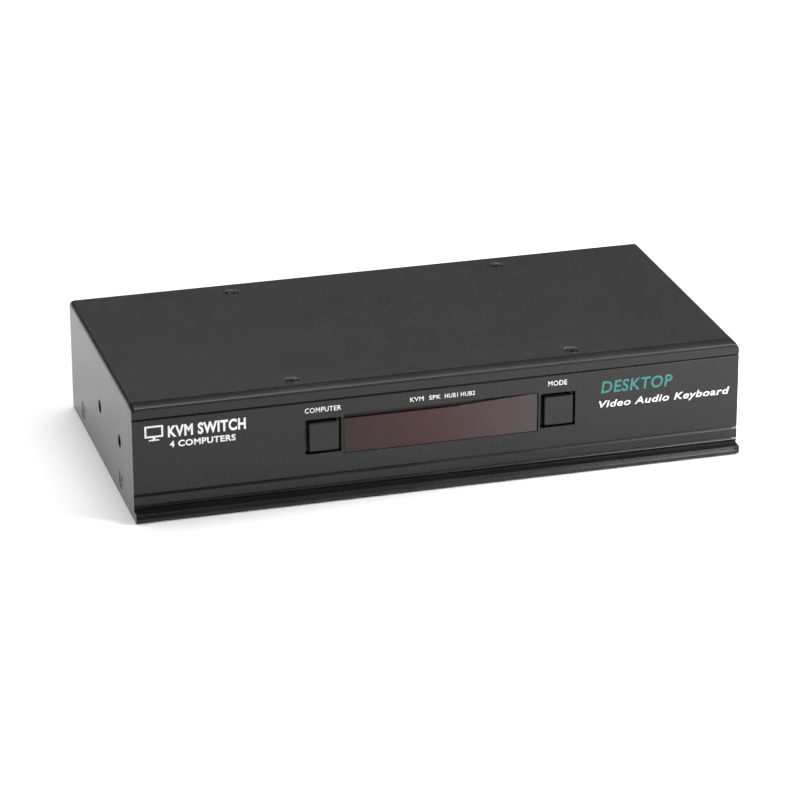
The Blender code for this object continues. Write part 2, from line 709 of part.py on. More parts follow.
def audio_socket():
    width, height, depth = AUDIO_SIZE
    front = -SHEET - GAP
    socket = box((-width / 2, front - depth, 0), (width / 2, front, height))
    nose = stack([(0, AUDIO_NOSE_RADIUS), (AUDIO_REACH - front + OVER, AUDIO_NOSE_RADIUS)])
    join(socket, [move(nose, (0, front - OVER, height / 2), (-90, 0, 0))])
    middle = AUDIO_REACH + OVER - depth / 2
    return cut(socket, [round_hole(0, middle, height / 2, AUDIO_BORE_RADIUS, depth, (90, 0, 0))])


def power_socket():
    width, height, depth = POWER_SIZE
    front = -SHEET - GAP
    socket = box((-width / 2, front - depth, 0), (width / 2, front, height))
    length = POWER_BORE_DEPTH + OVER
    floor = front - POWER_BORE_DEPTH
    cut(socket, [round_hole(0, floor + length / 2, height / 2, POWER_BORE_RADIUS, length, (90, 0, 0))])
    pin = stack([(0, POWER_PIN_RADIUS), (length - OVER, POWER_PIN_RADIUS)])
    return join(socket, [move(pin, (0, floor - OVER, height / 2), (-90, 0, 0))])


def options_socket():
    """An eight-way modular socket with its latch slot at the top."""
    width, height, depth = OPTIONS_SIZE
    socket = box((-width / 2, -depth, 0), (width / 2, GAP, height))
    mouth_width, mouth_height, mouth_depth = OPTIONS_MOUTH
    low = (height - mouth_height - OPTIONS_LATCH[1]) / 2
    high = low + mouth_height
    half = mouth_width / 2
    latch = OPTIONS_LATCH[0] / 2
    top = high + OPTIONS_LATCH[1]
    mouth = [(-half, low), (half, low), (half, high), (latch, high)]
    mouth += [(latch, top), (-latch, top), (-latch, high), (-half, high)]
    return cut(socket, [prism(mouth, "Y", -mouth_depth, GAP + OVER)])


def rear_opening(x, z_low, z_high, half):
    return box((x - half, BACK_Y - SHEET - OVER, z_low), (x + half, BACK_Y + OVER, z_high))


def rear_openings():
    """The holes in the back wall, each a little larger than what passes through it."""
    openings = []
    board = MAIN_TOP + GAP
    nose_z = VIDEO_TOP + GAP + video_centre()
    for x in VIDEO_SOCKET_X:
        outline = shift_outline(shell_outline(*VIDEO_NOSE, GAP), x, nose_z)
        openings.append(prism(outline, "Y", BACK_Y - SHEET - OVER, BACK_Y + OVER))
    sizes = [(OPTIONS_X, OPTIONS_SIZE), (VIDEO_SOCKET_X[0] + USB_B_SHIFT, USB_A_SIZE)]
    sizes += [(x + USB_B_SHIFT, USB_B_SIZE) for x in VIDEO_SOCKET_X[1:]]
    for x, (width, height, _) in sizes:
        openings.append(rear_opening(x, board - GAP, board + height + GAP, width / 2 + GAP))
    for x in VIDEO_SOCKET_X:
        z = board + AUDIO_SIZE[1] / 2
        spot = (x + AUDIO_SHIFT, BACK_Y, z)
        openings.append(round_hole(*spot, AUDIO_NOSE_RADIUS + GAP, 4 * SHEET, (90, 0, 0)))
    spot = (POWER_X, BACK_Y, board + POWER_SIZE[1] / 2)
    openings.append(round_hole(*spot, POWER_BORE_RADIUS + GAP, 4 * SHEET, (90, 0, 0)))
    return openings


def build_sockets(steel, plastic):
    board = MAIN_TOP + GAP
    still = (0, 0, 0)
    names = ["console"] + [f"computer_{k}" for k in range(1, len(VIDEO_SOCKET_X))]
    labelled = list(zip(names, VIDEO_SOCKET_X))
    video = [(f"video_socket_{name}", (x, BACK_Y, VIDEO_TOP + GAP), still) for name, x in labelled]
    place_copies(video_socket(), video, steel)
    usb_b = [(f"usb_socket_{name}", (x + USB_B_SHIFT, BACK_Y, board), still) for name, x in labelled[1:]]
    place_copies(usb_b_socket(), usb_b, steel)
    usb_a = [("usb_socket_console", (VIDEO_SOCKET_X[0] + USB_B_SHIFT, BACK_Y, board), still)]
    place_copies(usb_a_socket(), usb_a, steel)
    audio = [(f"audio_socket_{name}", (x + AUDIO_SHIFT, BACK_Y, board), still) for name, x in labelled]
    place_copies(audio_socket(), audio, plastic)
    place_copies(power_socket(), [("power_socket", (POWER_X, BACK_Y, board), still)], plastic)
    place_copies(options_socket(), [("options_socket", (OPTIONS_X, BACK_Y, board), still)], plastic)


# Boards and what is on them


def build_boards(laminate):
    stacked = [("main_board", MAIN_BOARD_Z, MAIN_BOARD_DEPTH)]
    stacked += [("video_board", VIDEO_BOARD_Z, VIDEO_BOARD_DEPTH)]
    for name, z, depth in stacked:
        board = box((-BOARD_HALF, BOARD_BACK_Y - depth, z), (BOARD_HALF, BOARD_BACK_Y - GAP, z + BOARD))
        holes = [round_hole(x, y, z, HOLE_RADIUS, 4 * BOARD) for x, y in spacer_spots()]
        name_piece(cut(board, holes), name, laminate)
    board = box(
        (-FRONT_BOARD_HALF, FRONT_BOARD_Y, FRONT_BOARD_LOW),
        (FRONT_BOARD_HALF, FRONT_BOARD_Y + BOARD, FRONT_BOARD_HIGH),
    )
    holes = []
    for _, (x, y, z), _ in front_board_screw_places():
        holes.append(round_hole(x, y, z, HOLE_RADIUS, 4 * BOARD, (90, 0, 0)))
    name_piece(cut(board, holes), "front_board", laminate)


def build_spacers(material):
    """Six-sided spacers: a stud below goes through the main board, and a bore above takes the screw."""
    spacer = stack([(0, SPACER_HALF), (SPACER_LENGTH, SPACER_HALF)], 6)
    join(spacer, [stack([(-SPACER_STUD, THREAD_RADIUS), (OVER, THREAD_RADIUS)])])
    length = SPACER_BORE_DEPTH + OVER
    middle = SPACER_LENGTH - SPACER_BORE_DEPTH + length / 2
    cut(spacer, [round_hole(0, 0, middle, HOLE_RADIUS, length)])
    spots = enumerate(spacer_spots())
    places = [(f"board_spacer_{k + 1}", (x, y, MAIN_TOP + GAP), (0, 0, 0)) for k, (x, y) in spots]
    place_copies(spacer, places, material)


def build_display(material):
    half_x = DISPLAY_WIDTH / 2
    half_z = DISPLAY_HEIGHT / 2
    module = square_opening(DISPLAY_X, WINDOW_Z, half_x, half_z, DISPLAY_Y, FRONT_BOARD_Y - GAP)
    name_piece(module, "display_module", material)


def build_chip(chip_material, metal):
    width, depth, height = CHIP_SIZE
    low = VIDEO_TOP + GAP
    front = BOARD_BACK_Y - VIDEO_BOARD_DEPTH + CHIP_FRONT
    chip = box((CHIP_X - width / 2, front, low), (CHIP_X + width / 2, front + depth, low + height))
    name_piece(chip, "switch_chip", chip_material)
    base = low + height + GAP
    fin = width / (2 * HEAT_SINK_FINS - 1)
    outline = [(CHIP_X - width / 2, base), (CHIP_X + width / 2, base)]
    for k in range(HEAT_SINK_FINS):
        right = CHIP_X + width / 2 - 2 * k * fin
        top = base + HEAT_SINK_HEIGHT
        low_z = base + HEAT_SINK_BASE
        outline += [(right, low_z), (right, top), (right - fin, top), (right - fin, low_z)]
    # The first and last fins stand flush with the base's ends, so those two corners are left out.
    outline.remove((CHIP_X + width / 2, base + HEAT_SINK_BASE))
    outline.pop()
    name_piece(prism(outline, "Y", front, front + depth), "heat_sink", metal)


def build_board_link(material):
    """The connector that joins the two stacked boards."""
    width, depth = LINK_SIZE
    front = BOARD_BACK_Y - VIDEO_BOARD_DEPTH + LINK_FRONT
    low = (LINK_X - width / 2, front, MAIN_TOP + GAP)
    high = (LINK_X + width / 2, front + depth, VIDEO_BOARD_Z - GAP)
    name_piece(box(low, high), "board_link", material)


def build_ribbon(material):
    """A flat cable with a plug at each end, from the back of the front board down to the main board."""
    plug_depth, plug_height = RIBBON_PLUG
    front = FRONT_BOARD_Y + BOARD + GAP
    inner = front + plug_depth
    z = RIBBON_FRONT_Z
    seat = MAIN_TOP + GAP
    plug_top = seat + plug_height
    plug_front = BOARD_BACK_Y - MAIN_BOARD_DEPTH + RIBBON_INSET
    down = plug_front + plug_depth / 2
    bend = (down - RIBBON_BEND, z - RIBBON_BEND)
    short = RIBBON_BEND - RIBBON_HALF
    long = RIBBON_BEND + RIBBON_HALF
    outline = [(front, z - plug_height / 2), (inner, z - plug_height / 2), (inner, z - RIBBON_HALF)]
    outline += arc(bend, short, short, 90, 0, 5)
    outline += [(down - RIBBON_HALF, plug_top), (plug_front, plug_top), (plug_front, seat)]
    plug_back = plug_front + plug_depth
    outline += [(plug_back, seat), (plug_back, plug_top), (down + RIBBON_HALF, plug_top)]
    outline += arc(bend, long, long, 0, 90, 5)
    outline += [(inner, z + RIBBON_HALF), (inner, z + plug_height / 2), (front, z + plug_height / 2)]
    ribbon = prism(outline, "X", RIBBON_X - RIBBON_WIDTH / 2, RIBBON_X + RIBBON_WIDTH / 2)
    name_piece(ribbon, "ribbon_cable", material)


def main():
    clear_scene()
    paint = make_material("black_panel_paint", (0.030, 0.030, 0.031), 0.35)
    powder = make_material("black_powder_coat", (0.040, 0.040, 0.040), 0.45)
    acrylic = make_material("dark_red_acrylic", (0.060, 0.008, 0.006), 0.08)
    cap = make_material("black_button_plastic", (0.028, 0.028, 0.029), 0.35)
    black_screw = make_material("black_screw_steel", (0.030, 0.030, 0.032), 0.30, 1.0)
    zinc = make_material("zinc_plated_steel", (0.62, 0.62, 0.60), 0.30, 1.0)
    nickel = make_material("nickel_plated_steel", (0.60, 0.59, 0.56), 0.25, 1.0)
    laminate = make_material("green_laminate", (0.020, 0.120, 0.050), 0.40)
    black_plastic = make_material("black_plastic", (0.020, 0.020, 0.020), 0.45)
    white_plastic = make_material("white_plastic", (0.70, 0.70, 0.68), 0.40)
    aluminium = make_material("aluminium", (0.75, 0.75, 0.76), 0.35, 1.0)
    grey_cable = make_material("grey_cable", (0.35, 0.35, 0.36), 0.50)
    build_front_panel(paint)
    build_window(acrylic)
    build_buttons(cap, black_plastic, white_plastic)
    build_cover(powder)
    build_tray(powder)
    build_screws(black_screw, zinc)
    build_bracket_nuts(zinc)
    build_sockets(nickel, black_plastic)
    build_boards(laminate)
    build_spacers(zinc)
    build_display(black_plastic)
    build_chip(black_plastic, aluminium)
    build_board_link(black_plastic)
    build_ribbon(grey_cable)


main()
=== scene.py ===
"""The looks of a four-port KVM switch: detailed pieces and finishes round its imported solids."""

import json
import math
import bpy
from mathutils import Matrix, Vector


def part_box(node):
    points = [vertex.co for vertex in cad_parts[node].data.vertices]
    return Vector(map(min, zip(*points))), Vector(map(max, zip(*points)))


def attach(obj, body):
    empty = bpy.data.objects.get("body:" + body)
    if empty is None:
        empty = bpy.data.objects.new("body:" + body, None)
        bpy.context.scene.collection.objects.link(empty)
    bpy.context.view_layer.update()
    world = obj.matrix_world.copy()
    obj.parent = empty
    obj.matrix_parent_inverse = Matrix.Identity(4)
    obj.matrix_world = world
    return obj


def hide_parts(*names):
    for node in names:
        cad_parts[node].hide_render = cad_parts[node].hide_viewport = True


bl_info = {
    "name": "KVM switch",
    "version": (1, 0, 0),
    "blender": (4, 5, 0),
    "location": "3D View > Sidebar > KVM switch",
    "description": "A four-port KVM switch with its display window, buttons, cover and rear sockets",
    "category": "Object",
}

import bmesh
import bpy
from bpy.props import FloatProperty, FloatVectorProperty, PointerProperty, StringProperty
from mathutils import Matrix, Vector

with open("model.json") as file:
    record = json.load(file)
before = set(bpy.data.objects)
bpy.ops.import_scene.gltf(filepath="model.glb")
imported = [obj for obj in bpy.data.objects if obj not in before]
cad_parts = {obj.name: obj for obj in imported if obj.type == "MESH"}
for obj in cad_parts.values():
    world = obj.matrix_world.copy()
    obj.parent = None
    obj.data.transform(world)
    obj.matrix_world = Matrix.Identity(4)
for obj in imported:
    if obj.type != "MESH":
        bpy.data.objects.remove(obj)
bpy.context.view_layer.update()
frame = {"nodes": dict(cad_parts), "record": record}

MM = 0.001  # pieces are drawn in millimetres and made metres when they are finished
CASE = "case"


def node_box(node):
    """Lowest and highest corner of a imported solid, in millimetres."""
    low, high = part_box(node)
    return low / MM, high / MM


PANEL_LOW, PANEL_HIGH = node_box("front_panel")
COVER_LOW, COVER_HIGH = node_box("top_cover")
PANE_LOW, PANE_HIGH = node_box("display_window")
FOOT_REACH = 4.0
FACE_Y = PANEL_LOW.y + FOOT_REACH  # the main front face
BACK_Y = COVER_HIGH.y
SIDE_X = PANEL_HIGH.x
TOP_Z = PANEL_HIGH.z
SHEET = 1.2
FOLD_RADIUS = 2.4
WALL = 2.8  # the panel's thickness in front of its milled pocket
GAP = 0.3
POCKET = ((-118.0, 6.0), (118.0, TOP_Z - 4.5))  # the milled pocket behind the face, in (x, z)
BUTTON_OPENING = 15.8
CAP = 12.9
HEAD_RADIUS = 2.75  # an M3 countersunk head, seen from above
SHANK_RADIUS = 1.5
HEAD_RIM = 0.22  # the straight rim above the head's cone
BRACKET_HOLE_RADIUS = 2.85
PORTS = ("console", "computer_1", "computer_2", "computer_3", "computer_4")
PRINT_LIFT = 0.004
NO_STRETCH = (1.0, 1.0, 1.0)

# Finishes that the user can change


class KvmSizes(bpy.types.PropertyGroup):
    """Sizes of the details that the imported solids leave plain"""

    edge_softness: FloatProperty(
        name="Edge softness",
        description="How far the panel's edges are eased",
        default=0.00018,
        min=0.0,
        subtype="DISTANCE",
        unit="LENGTH",
    )
    corner_radius: FloatProperty(
        name="Opening corners",
        description="Radius of the corners of the window's and the buttons' openings",
        default=0.0005,
        min=0.0,
        subtype="DISTANCE",
        unit="LENGTH",
    )
    dimple_radius: FloatProperty(
        name="Screw dimples",
        description="Radius of the pressed dimple round each cover screw",
        default=0.0043,
        min=0.0,
        subtype="DISTANCE",
        unit="LENGTH",
    )
    print_thickness: FloatProperty(
        name="Print thickness",
        description="Thickness of the printed labels",
        default=0.00006,
        min=0.0,
        subtype="DISTANCE",
        unit="LENGTH",
    )


def colour_property(name, description, default):
    return FloatVectorProperty(
        name=name, description=description, default=default, size=3, min=0.0, max=1.0, subtype="COLOR"
    )


class KvmColours(bpy.types.PropertyGroup):
    """Colours of the finishes"""

    panel: colour_property("Front panel", "Paint of the front panel", (0.0105, 0.0105, 0.0107))
    cover: colour_property("Cover", "Powder coat of the cover and the tray", (0.0125, 0.0125, 0.0121))
    window: colour_property("Window", "Tint of the display window", (0.052, 0.009, 0.007))
    # painted light: the paler tint at the window's right end stands in for the reflection of the lit floor
    window_painted_light_end: colour_property("Window end", "Tint of the window's lit end", (0.072, 0.056, 0.056))
    button: colour_property("Buttons", "Moulded plastic of the two buttons", (0.0105, 0.0105, 0.0108))
    label: colour_property("Labels", "Ink of the labels", (0.86, 0.86, 0.85))
    accent: colour_property("Accent", "Ink of the coloured word", (0.022, 0.19, 0.165))


def sizes():
    return bpy.context.scene.kvm_sizes


def colours():
    return bpy.context.scene.kvm_colours


# Materials


def add_object(name, data):
    made = bpy.data.objects.new(name, data)
    bpy.context.scene.collection.objects.link(made)
    return made


def start_material(name, colour, roughness, metallic=0.0, specular=0.5):
    material = bpy.data.materials.new(name)
    material.use_nodes = True
    shader = material.node_tree.nodes["Principled BSDF"]
    shader.inputs["Base Color"].default_value = (*colour, 1.0)
    shader.inputs["Roughness"].default_value = roughness
    shader.inputs["Metallic"].default_value = metallic
    shader.inputs["Specular IOR Level"].default_value = specular
    return material, material.node_tree, shader


def own_coordinates(tree):
    return tree.nodes.new("ShaderNodeTexCoord").outputs["Object"]


def grain(tree, scale, detail=2.0, stretch=NO_STRETCH):
    """Noise on the piece's own coordinates. The scale is in cells a metre."""
    mapping = tree.nodes.new("ShaderNodeMapping")
    mapping.inputs["Scale"].default_value = stretch
    texture = tree.nodes.new("ShaderNodeTexNoise")
    texture.inputs["Scale"].default_value = scale
    texture.inputs["Detail"].default_value = detail
    tree.links.new(own_coordinates(tree), mapping.inputs["Vector"])
    tree.links.new(mapping.outputs["Vector"], texture.inputs["Vector"])
    return texture.outputs["Fac"]


def spread(tree, value, low, high, from_low=0.3, from_high=0.7):
    """Noise spread over a range, such as a roughness."""
    node = tree.nodes.new("ShaderNodeMapRange")
    node.inputs["From Min"].default_value = from_low
    node.inputs["From Max"].default_value = from_high
    node.inputs["To Min"].default_value = low
    node.inputs["To Max"].default_value = high
    tree.links.new(value, node.inputs["Value"])
    return node.outputs["Result"]


def tones(tree, value, dark, light, low=0.35, high=0.65):
    """Noise turned into a colour between two tones."""
    node = tree.nodes.new("ShaderNodeValToRGB")
    node.color_ramp.elements[0].position = low
    node.color_ramp.elements[0].color = (*dark, 1.0)
    node.color_ramp.elements[1].position = high
    node.color_ramp.elements[1].color = (*light, 1.0)
    tree.links.new(value, node.inputs["Fac"])
    return node.outputs["Color"]


def roughen(tree, shader, value, strength, distance):
    """A bump under the shader from a height."""
    node = tree.nodes.new("ShaderNodeBump")
    node.inputs["Strength"].default_value = strength
    node.inputs["Distance"].default_value = distance
    tree.links.new(value, node.inputs["Height"])
    tree.links.new(node.outputs["Normal"], shader.inputs["Normal"])


def shade(colour, factor):
    return tuple(min(1.0, part * factor) for part in colour)


def painted_material(
    name, colour, roughness, grain_scale, bump, speckle=0.12, specular=0.5, uneven=0.04, depth=0.00008
):
    """Paint or powder: a fine orange-peel grain, with slight changes of tone and gloss."""
    material, tree, shader = start_material(name, colour, roughness, specular=specular)
    fine = grain(tree, grain_scale, 3.0)
    broad = grain(tree, 24.0)
    speckled = tones(tree, fine, shade(colour, 1 - speckle), shade(colour, 1 + speckle))
    tree.links.new(speckled, shader.inputs["Base Color"])
    gloss = spread(tree, broad, roughness - uneven, roughness + uneven)
    tree.links.new(gloss, shader.inputs["Roughness"])
    roughen(tree, shader, fine, bump, depth)
    return material


def metal_material(name, colour, roughness, stretch=NO_STRETCH):
    """Plated or rolled metal with fine marks along one way."""
    material, tree, shader = start_material(name, colour, roughness, metallic=1.0)
    marks = grain(tree, 900.0, 3.0, stretch)
    toned = tones(tree, marks, shade(colour, 0.86), shade(colour, 1.1))
    tree.links.new(toned, shader.inputs["Base Color"])
    tree.links.new(spread(tree, marks, roughness - 0.06, roughness + 0.08), shader.inputs["Roughness"])
    roughen(tree, shader, marks, 0.12, 0.00003)
    return material


def window_material():
    """Smoked red acrylic: a glossy face over a tint that lets a little of the display through, with
    painted shade at its left end and painted light at its right end.
    """
    tint = colours().window
    material, tree, shader = start_material("smoked_red_acrylic", tint, 0.1, specular=0.3)
    shader.inputs["Transmission Weight"].default_value = 0.3
    shader.inputs["IOR"].default_value = 1.49
    haze = grain(tree, 34.0)
    # Painted shade and painted light: along X the tint runs from a darkened left end through the plain
    # tint to a paler right end, standing in for the floor's uneven reflection
    split = tree.nodes.new("ShaderNodeSeparateXYZ")
    tree.links.new(own_coordinates(tree), split.inputs[0])
    along = spread(tree, split.outputs["X"], 0.0, 1.0, -0.045, 0.045)
    ramp = tree.nodes.new("ShaderNodeValToRGB")
    ramp.color_ramp.elements[0].color = (*shade(tint, 0.45), 1.0)
    ramp.color_ramp.elements[1].color = (*colours().window_painted_light_end, 1.0)
    ramp.color_ramp.elements.new(0.42).color = (*tint, 1.0)
    tree.links.new(along, ramp.inputs[0])
    mixed = tree.nodes.new("ShaderNodeMix")
    mixed.data_type = "RGBA"
    mixed.blend_type = "MULTIPLY"
    mixed.inputs[0].default_value = 1.0
    tree.links.new(ramp.outputs[0], mixed.inputs[6])
    tree.links.new(tones(tree, haze, (0.85, 0.85, 0.85), (1.0, 1.0, 1.0)), mixed.inputs[7])
    tree.links.new(mixed.outputs[2], shader.inputs["Base Color"])
    smears = grain(tree, 60.0, 2.0, (1.0, 1.0, 2.0))
    tree.links.new(spread(tree, smears, 0.07, 0.12), shader.inputs["Roughness"])
    return material


def laminate_material():
    """Green solder mask with a faint weave below it and the paler lines of tracks."""
    material, tree, shader = start_material("green_laminate", (0.012, 0.07, 0.03), 0.35)
    tracks = tree.nodes.new("ShaderNodeTexBrick")
    tracks.inputs["Scale"].default_value = 160.0
    tracks.inputs["Mortar Size"].default_value = 0.03
    tracks.inputs["Color1"].default_value = (0.010, 0.060, 0.026, 1.0)
    tracks.inputs["Color2"].default_value = (0.012, 0.075, 0.033, 1.0)
    tracks.inputs["Mortar"].default_value = (0.03, 0.14, 0.07, 1.0)
    tree.links.new(own_coordinates(tree), tracks.inputs["Vector"])
    tree.links.new(tracks.outputs["Color"], shader.inputs["Base Color"])
    roughen(tree, shader, grain(tree, 1500.0), 0.1, 0.00003)
    return material


def ink_material(name, colour):
    material, tree, shader = start_material(name, colour, 0.45)
    fine = grain(tree, 2600.0)
    toned = tones(tree, fine, shade(colour, 0.9), shade(colour, 1.04))
    tree.links.new(toned, shader.inputs["Base Color"])
    return material


def make_materials():
    """Every finish by its slot, made once."""
    shades = colours()
    return {
        "front_panel_paint": painted_material(
            "satin_panel_paint", shades.panel, 0.27, 2600.0, 0.14, 0.2, 0.34
        ),
        "case_powder_coat": painted_material(
            "fine_powder_coat", shades.cover, 0.25, 1100.0, 1.0, 0.95, 1.0, uneven=0.01, depth=0.00019
        ),
        "window_acrylic": window_material(),
        "button_plastic": painted_material(
            "button_moulding", shades.button, 0.29, 3200.0, 0.12, 0.2, 0.35
        ),
        "black_screws": metal_material("black_oxide_steel", (0.085, 0.085, 0.087), 0.26),
        "zinc_steel": metal_material("zinc_plated_steel", (0.62, 0.63, 0.66), 0.3, (1.0, 5.0, 1.0)),
        "socket_shell": metal_material("nickel_plated_shell", (0.66, 0.66, 0.64), 0.24, (5.0, 1.0, 5.0)),
        "board_laminate": laminate_material(),
        "black_moulding": painted_material("black_moulding", (0.016, 0.016, 0.017), 0.42, 2600.0, 0.2),
        "white_moulding": painted_material("white_moulding", (0.62, 0.62, 0.58), 0.4, 2600.0, 0.1, 0.05),
        "heat_sink_aluminium": metal_material(
            "bare_aluminium", (0.72, 0.73, 0.75), 0.32, (1.0, 8.0, 1.0)
        ),
        "cable_grey": painted_material("ribbon_grey", (0.32, 0.33, 0.35), 0.5, 1800.0, 0.2, 0.1),
        "label_ink": ink_material("white_ink", shades.label),
        "accent_ink": ink_material("green_blue_ink", shades.accent),
        "contact_gold": metal_material("gold_contacts", (0.82, 0.58, 0.22), 0.25),
        # painted shade: a darker red for the pane's faces set back above its face, standing in for the
        # shadow under the opening's top edge
        "acrylic_painted_shade": painted_material(
            "acrylic_painted_shade", (0.012, 0.0025, 0.0025), 0.4, 2600.0, 0.1, 0.2, 0.3
        ),
        # painted highlight: a paler colour for the pane's upward-sloping ledge, standing in for the bright
        # line along its top edge
        "acrylic_painted_highlight": painted_material(
            "acrylic_painted_highlight", (0.06, 0.045, 0.045), 0.3, 2600.0, 0.1, 0.2, 1.0
        ),
        "segment_grey": painted_material("display_segments", (0.20, 0.14, 0.13), 0.5, 2600.0, 0.1, 0.05),
    }


FINISHES = {}


def finish_of(slot):
    if not FINISHES:
        FINISHES.update(make_materials())
    return FINISHES[slot]


# Drawing


def finish_piece(bm, name, slot, replaces=(), body=CASE, finish=None, ease=0.0, sharp=32.0):
    """Makes the piece's object from a drawing in millimetres, with its finish, eased edges and body."""
    bmesh.ops.remove_doubles(bm, verts=bm.verts, dist=0.0005)
    bmesh.ops.recalc_face_normals(bm, faces=bm.faces)
    bmesh.ops.scale(bm, verts=bm.verts, vec=(MM, MM, MM))
    mesh = bpy.data.meshes.new(name)
    bm.to_mesh(mesh)
    bm.free()
    mesh.shade_smooth()
    mesh.set_sharp_from_angle(angle=math.radians(sharp))
    mesh.materials.append(finish_of(finish or slot))
    piece = add_object(name, mesh)
    if ease:
        bevel = piece.modifiers.new("eased edges", "BEVEL")
        bevel.width = ease * MM
        bevel.segments = 2
        bevel.limit_method = "ANGLE"
        bevel.angle_limit = math.radians(40)
        bevel.harden_normals = True
    weighted = piece.modifiers.new("flat faces", "WEIGHTED_NORMAL")
    weighted.keep_sharp = True
    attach(piece, body)
    if replaces:
        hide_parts(*replaces)
    return piece


def arc(centre, radius, start, stop, steps):
    """Points round an arc, in degrees."""
    turns = [math.radians(start + (stop - start) * k / steps) for k in range(steps + 1)]
    return [(centre[0] + radius[0] * math.cos(a), centre[1] + radius[1] * math.sin(a)) for a in turns]


def circle(radius, sides=32, start=0.5):
    turns = [2 * math.pi * (k + start) / sides for k in range(sides)]
    return [(radius * math.cos(a), radius * math.sin(a)) for a in turns]


def soften(outline, radius, most=25.0):
    """Eases an outline's corners with three points each, leaving gentle turns as they are."""
    eased = []
    count = len(outline)
    for k, corner in enumerate(outline):
        here = Vector(corner)
        before = Vector(outline[k - 1]) - here
        after = Vector(outline[(k + 1) % count]) - here
        turn = math.degrees(math.pi - before.angle(after))
        if turn < most:
            eased.append(tuple(here))
            continue
        reach = min(radius, 0.35 * before.length, 0.35 * after.length)
        first = here + before.normalized() * reach
        last = here + after.normalized() * reach
        middle = (first + last) / 4 + here / 2
        eased += [tuple(first), tuple(middle), tuple(last)]
    return eased


def in_plane(axis, a, b, along):
    """A drawn point put in space: (y, z) for X, (x, z) for Y and (x, y) for Z."""
    return {"X": (along, a, b), "Y": (a, along, b), "Z": (a, b, along)}[axis]


def faces_on_plane(bm, y):
    return [face for face in bm.faces if all(abs(vert.co.y - y) < 0.001 for vert in face.verts)]


def new_faces(found):
    return [item for item in found["geom"] if isinstance(item, bmesh.types.BMFace)]


def new_verts(found):
    return [item for item in found["geom"] if isinstance(item, bmesh.types.BMVert)]


def push(bm, faces, offset):
    """Extrudes faces by an offset and gives the moved faces."""
    edges = list({edge for face in faces for edge in face.edges})
    found = bmesh.ops.extrude_face_region(bm, geom=[*faces, *edges])
    bmesh.ops.translate(bm, verts=new_verts(found), vec=offset)
    for face in faces:
        if face.is_valid and any(len(edge.link_faces) > 2 for edge in face.edges):
            bm.faces.remove(face)
    return new_faces(found)


def prism(bm, outline, axis, start, stop):
    """A closed bar from an outline."""
    face = bm.faces.new([bm.verts.new(in_plane(axis, a, b, start)) for a, b in outline])
    return push(bm, [face], Vector(in_plane(axis, 0, 0, stop - start)))


def block(bm, low, high):
    made = bmesh.ops.create_cube(bm, size=1.0)["verts"]
    middle = (Vector(low) + Vector(high)) / 2
    bmesh.ops.scale(bm, verts=made, vec=Vector(high) - Vector(low))
    bmesh.ops.translate(bm, verts=made, vec=middle)
    return made


def stepped(bm, sides, steps):
    """A regular bar along +Y whose size changes at each step, (half width, half height, y).
    It starts and ends in a flat face, and a step that goes back makes a bore."""
    half_turn = math.pi / sides
    flat = 1 / math.cos(half_turn) if sides <= 6 else 1.0
    made = bmesh.ops.create_circle(bm, cap_ends=True, segments=sides, radius=flat)["verts"]
    bmesh.ops.rotate(bm, verts=made, matrix=Matrix.Rotation(half_turn, 3, "Z"))
    bmesh.ops.rotate(bm, verts=made, matrix=Matrix.Rotation(math.pi / 2, 3, "X"))
    wide, tall, y = steps[0]
    bmesh.ops.scale(bm, verts=made, vec=(wide, 1, tall))
    bmesh.ops.translate(bm, verts=made, vec=(0, y, 0))
    face = made[0].link_faces[0]
    verts = set(made)
    for next_wide, next_tall, next_y in steps[1:]:
        face = push(bm, [face], (0, next_y - y, 0))[0]
        bmesh.ops.scale(bm, verts=face.verts, vec=(next_wide / wide, 1, next_tall / tall))
        wide, tall, y = next_wide, next_tall, next_y
        verts |= set(face.verts)
    return list(verts)


def place(bm, verts, spot, turn=None):
    """Turns drawn points about the origin and moves them to their spot."""
    if turn is not None:
        bmesh.ops.rotate(bm, verts=verts, matrix=turn)
    bmesh.ops.translate(bm, verts=verts, vec=spot)


def cup(bm, outer, mouths, back, front, floor):
    """A bar along Y from an outline in (x, z), with pockets of other outlines sunk from its front."""
    ends = [prism(bm, outer, "Y", back, front)[0]]
    ends += [bm.faces.new([bm.verts.new((x, front, z)) for x, z in mouth]) for mouth in mouths]
    rims = [list(face.edges) for face in ends]
    for face in ends[1:]:
        push(bm, [face], (0, floor - front, 0))
    bmesh.ops.delete(bm, geom=[face for face in ends if face.is_valid], context="FACES_ONLY")
    edges = [edge for rim in rims for edge in rim]
    bmesh.ops.triangle_fill(bm, use_beauty=True, edges=edges, normal=(0, 1, 0))


def bisect(bm, spot, normal, geom=None):
    if geom is None:
        geom = [*bm.verts, *bm.edges, *bm.faces]
    bmesh.ops.bisect_plane(bm, geom=geom, plane_co=spot, plane_no=normal)


def face_at(bm, spot, normal):
    """The face that holds this point of the sheet."""
    for face in bm.faces:
        level = abs((face.verts[0].co - spot).dot(normal)) < 0.01
        facing = abs(face.normal.dot(normal)) > 0.99
        if level and facing and bmesh.geometry.intersect_face_point(face, spot):
            return face
    raise ValueError(f"the sheet has no face at {tuple(spot)}")


def punch(bm, spot, normal, across, half, rings, cuts=7):
    """Frames a square round a spot of the sheet, then steps in through round rings, (radius, depth).
    The last ring's inside is left open."""
    spot, normal, across = Vector(spot), Vector(normal), Vector(across)
    other = normal.cross(across)
    for way in (across, -across, other, -other):
        face = face_at(bm, spot, normal)
        bisect(bm, spot + way * half, way, [face, *face.edges, *face.verts])
    face = face_at(bm, spot, normal)
    bmesh.ops.subdivide_edges(bm, edges=list(face.edges), cuts=cuts)
    face = face_at(bm, spot, normal)
    for radius, depth in rings:
        face = push(bm, [face], (0, 0, 0))[0]
        for vert in face.verts:
            way = vert.co - spot
            way -= normal * way.dot(normal)
            vert.co = spot + way.normalized() * radius - normal * depth
    bm.faces.remove(face)


# Front panel


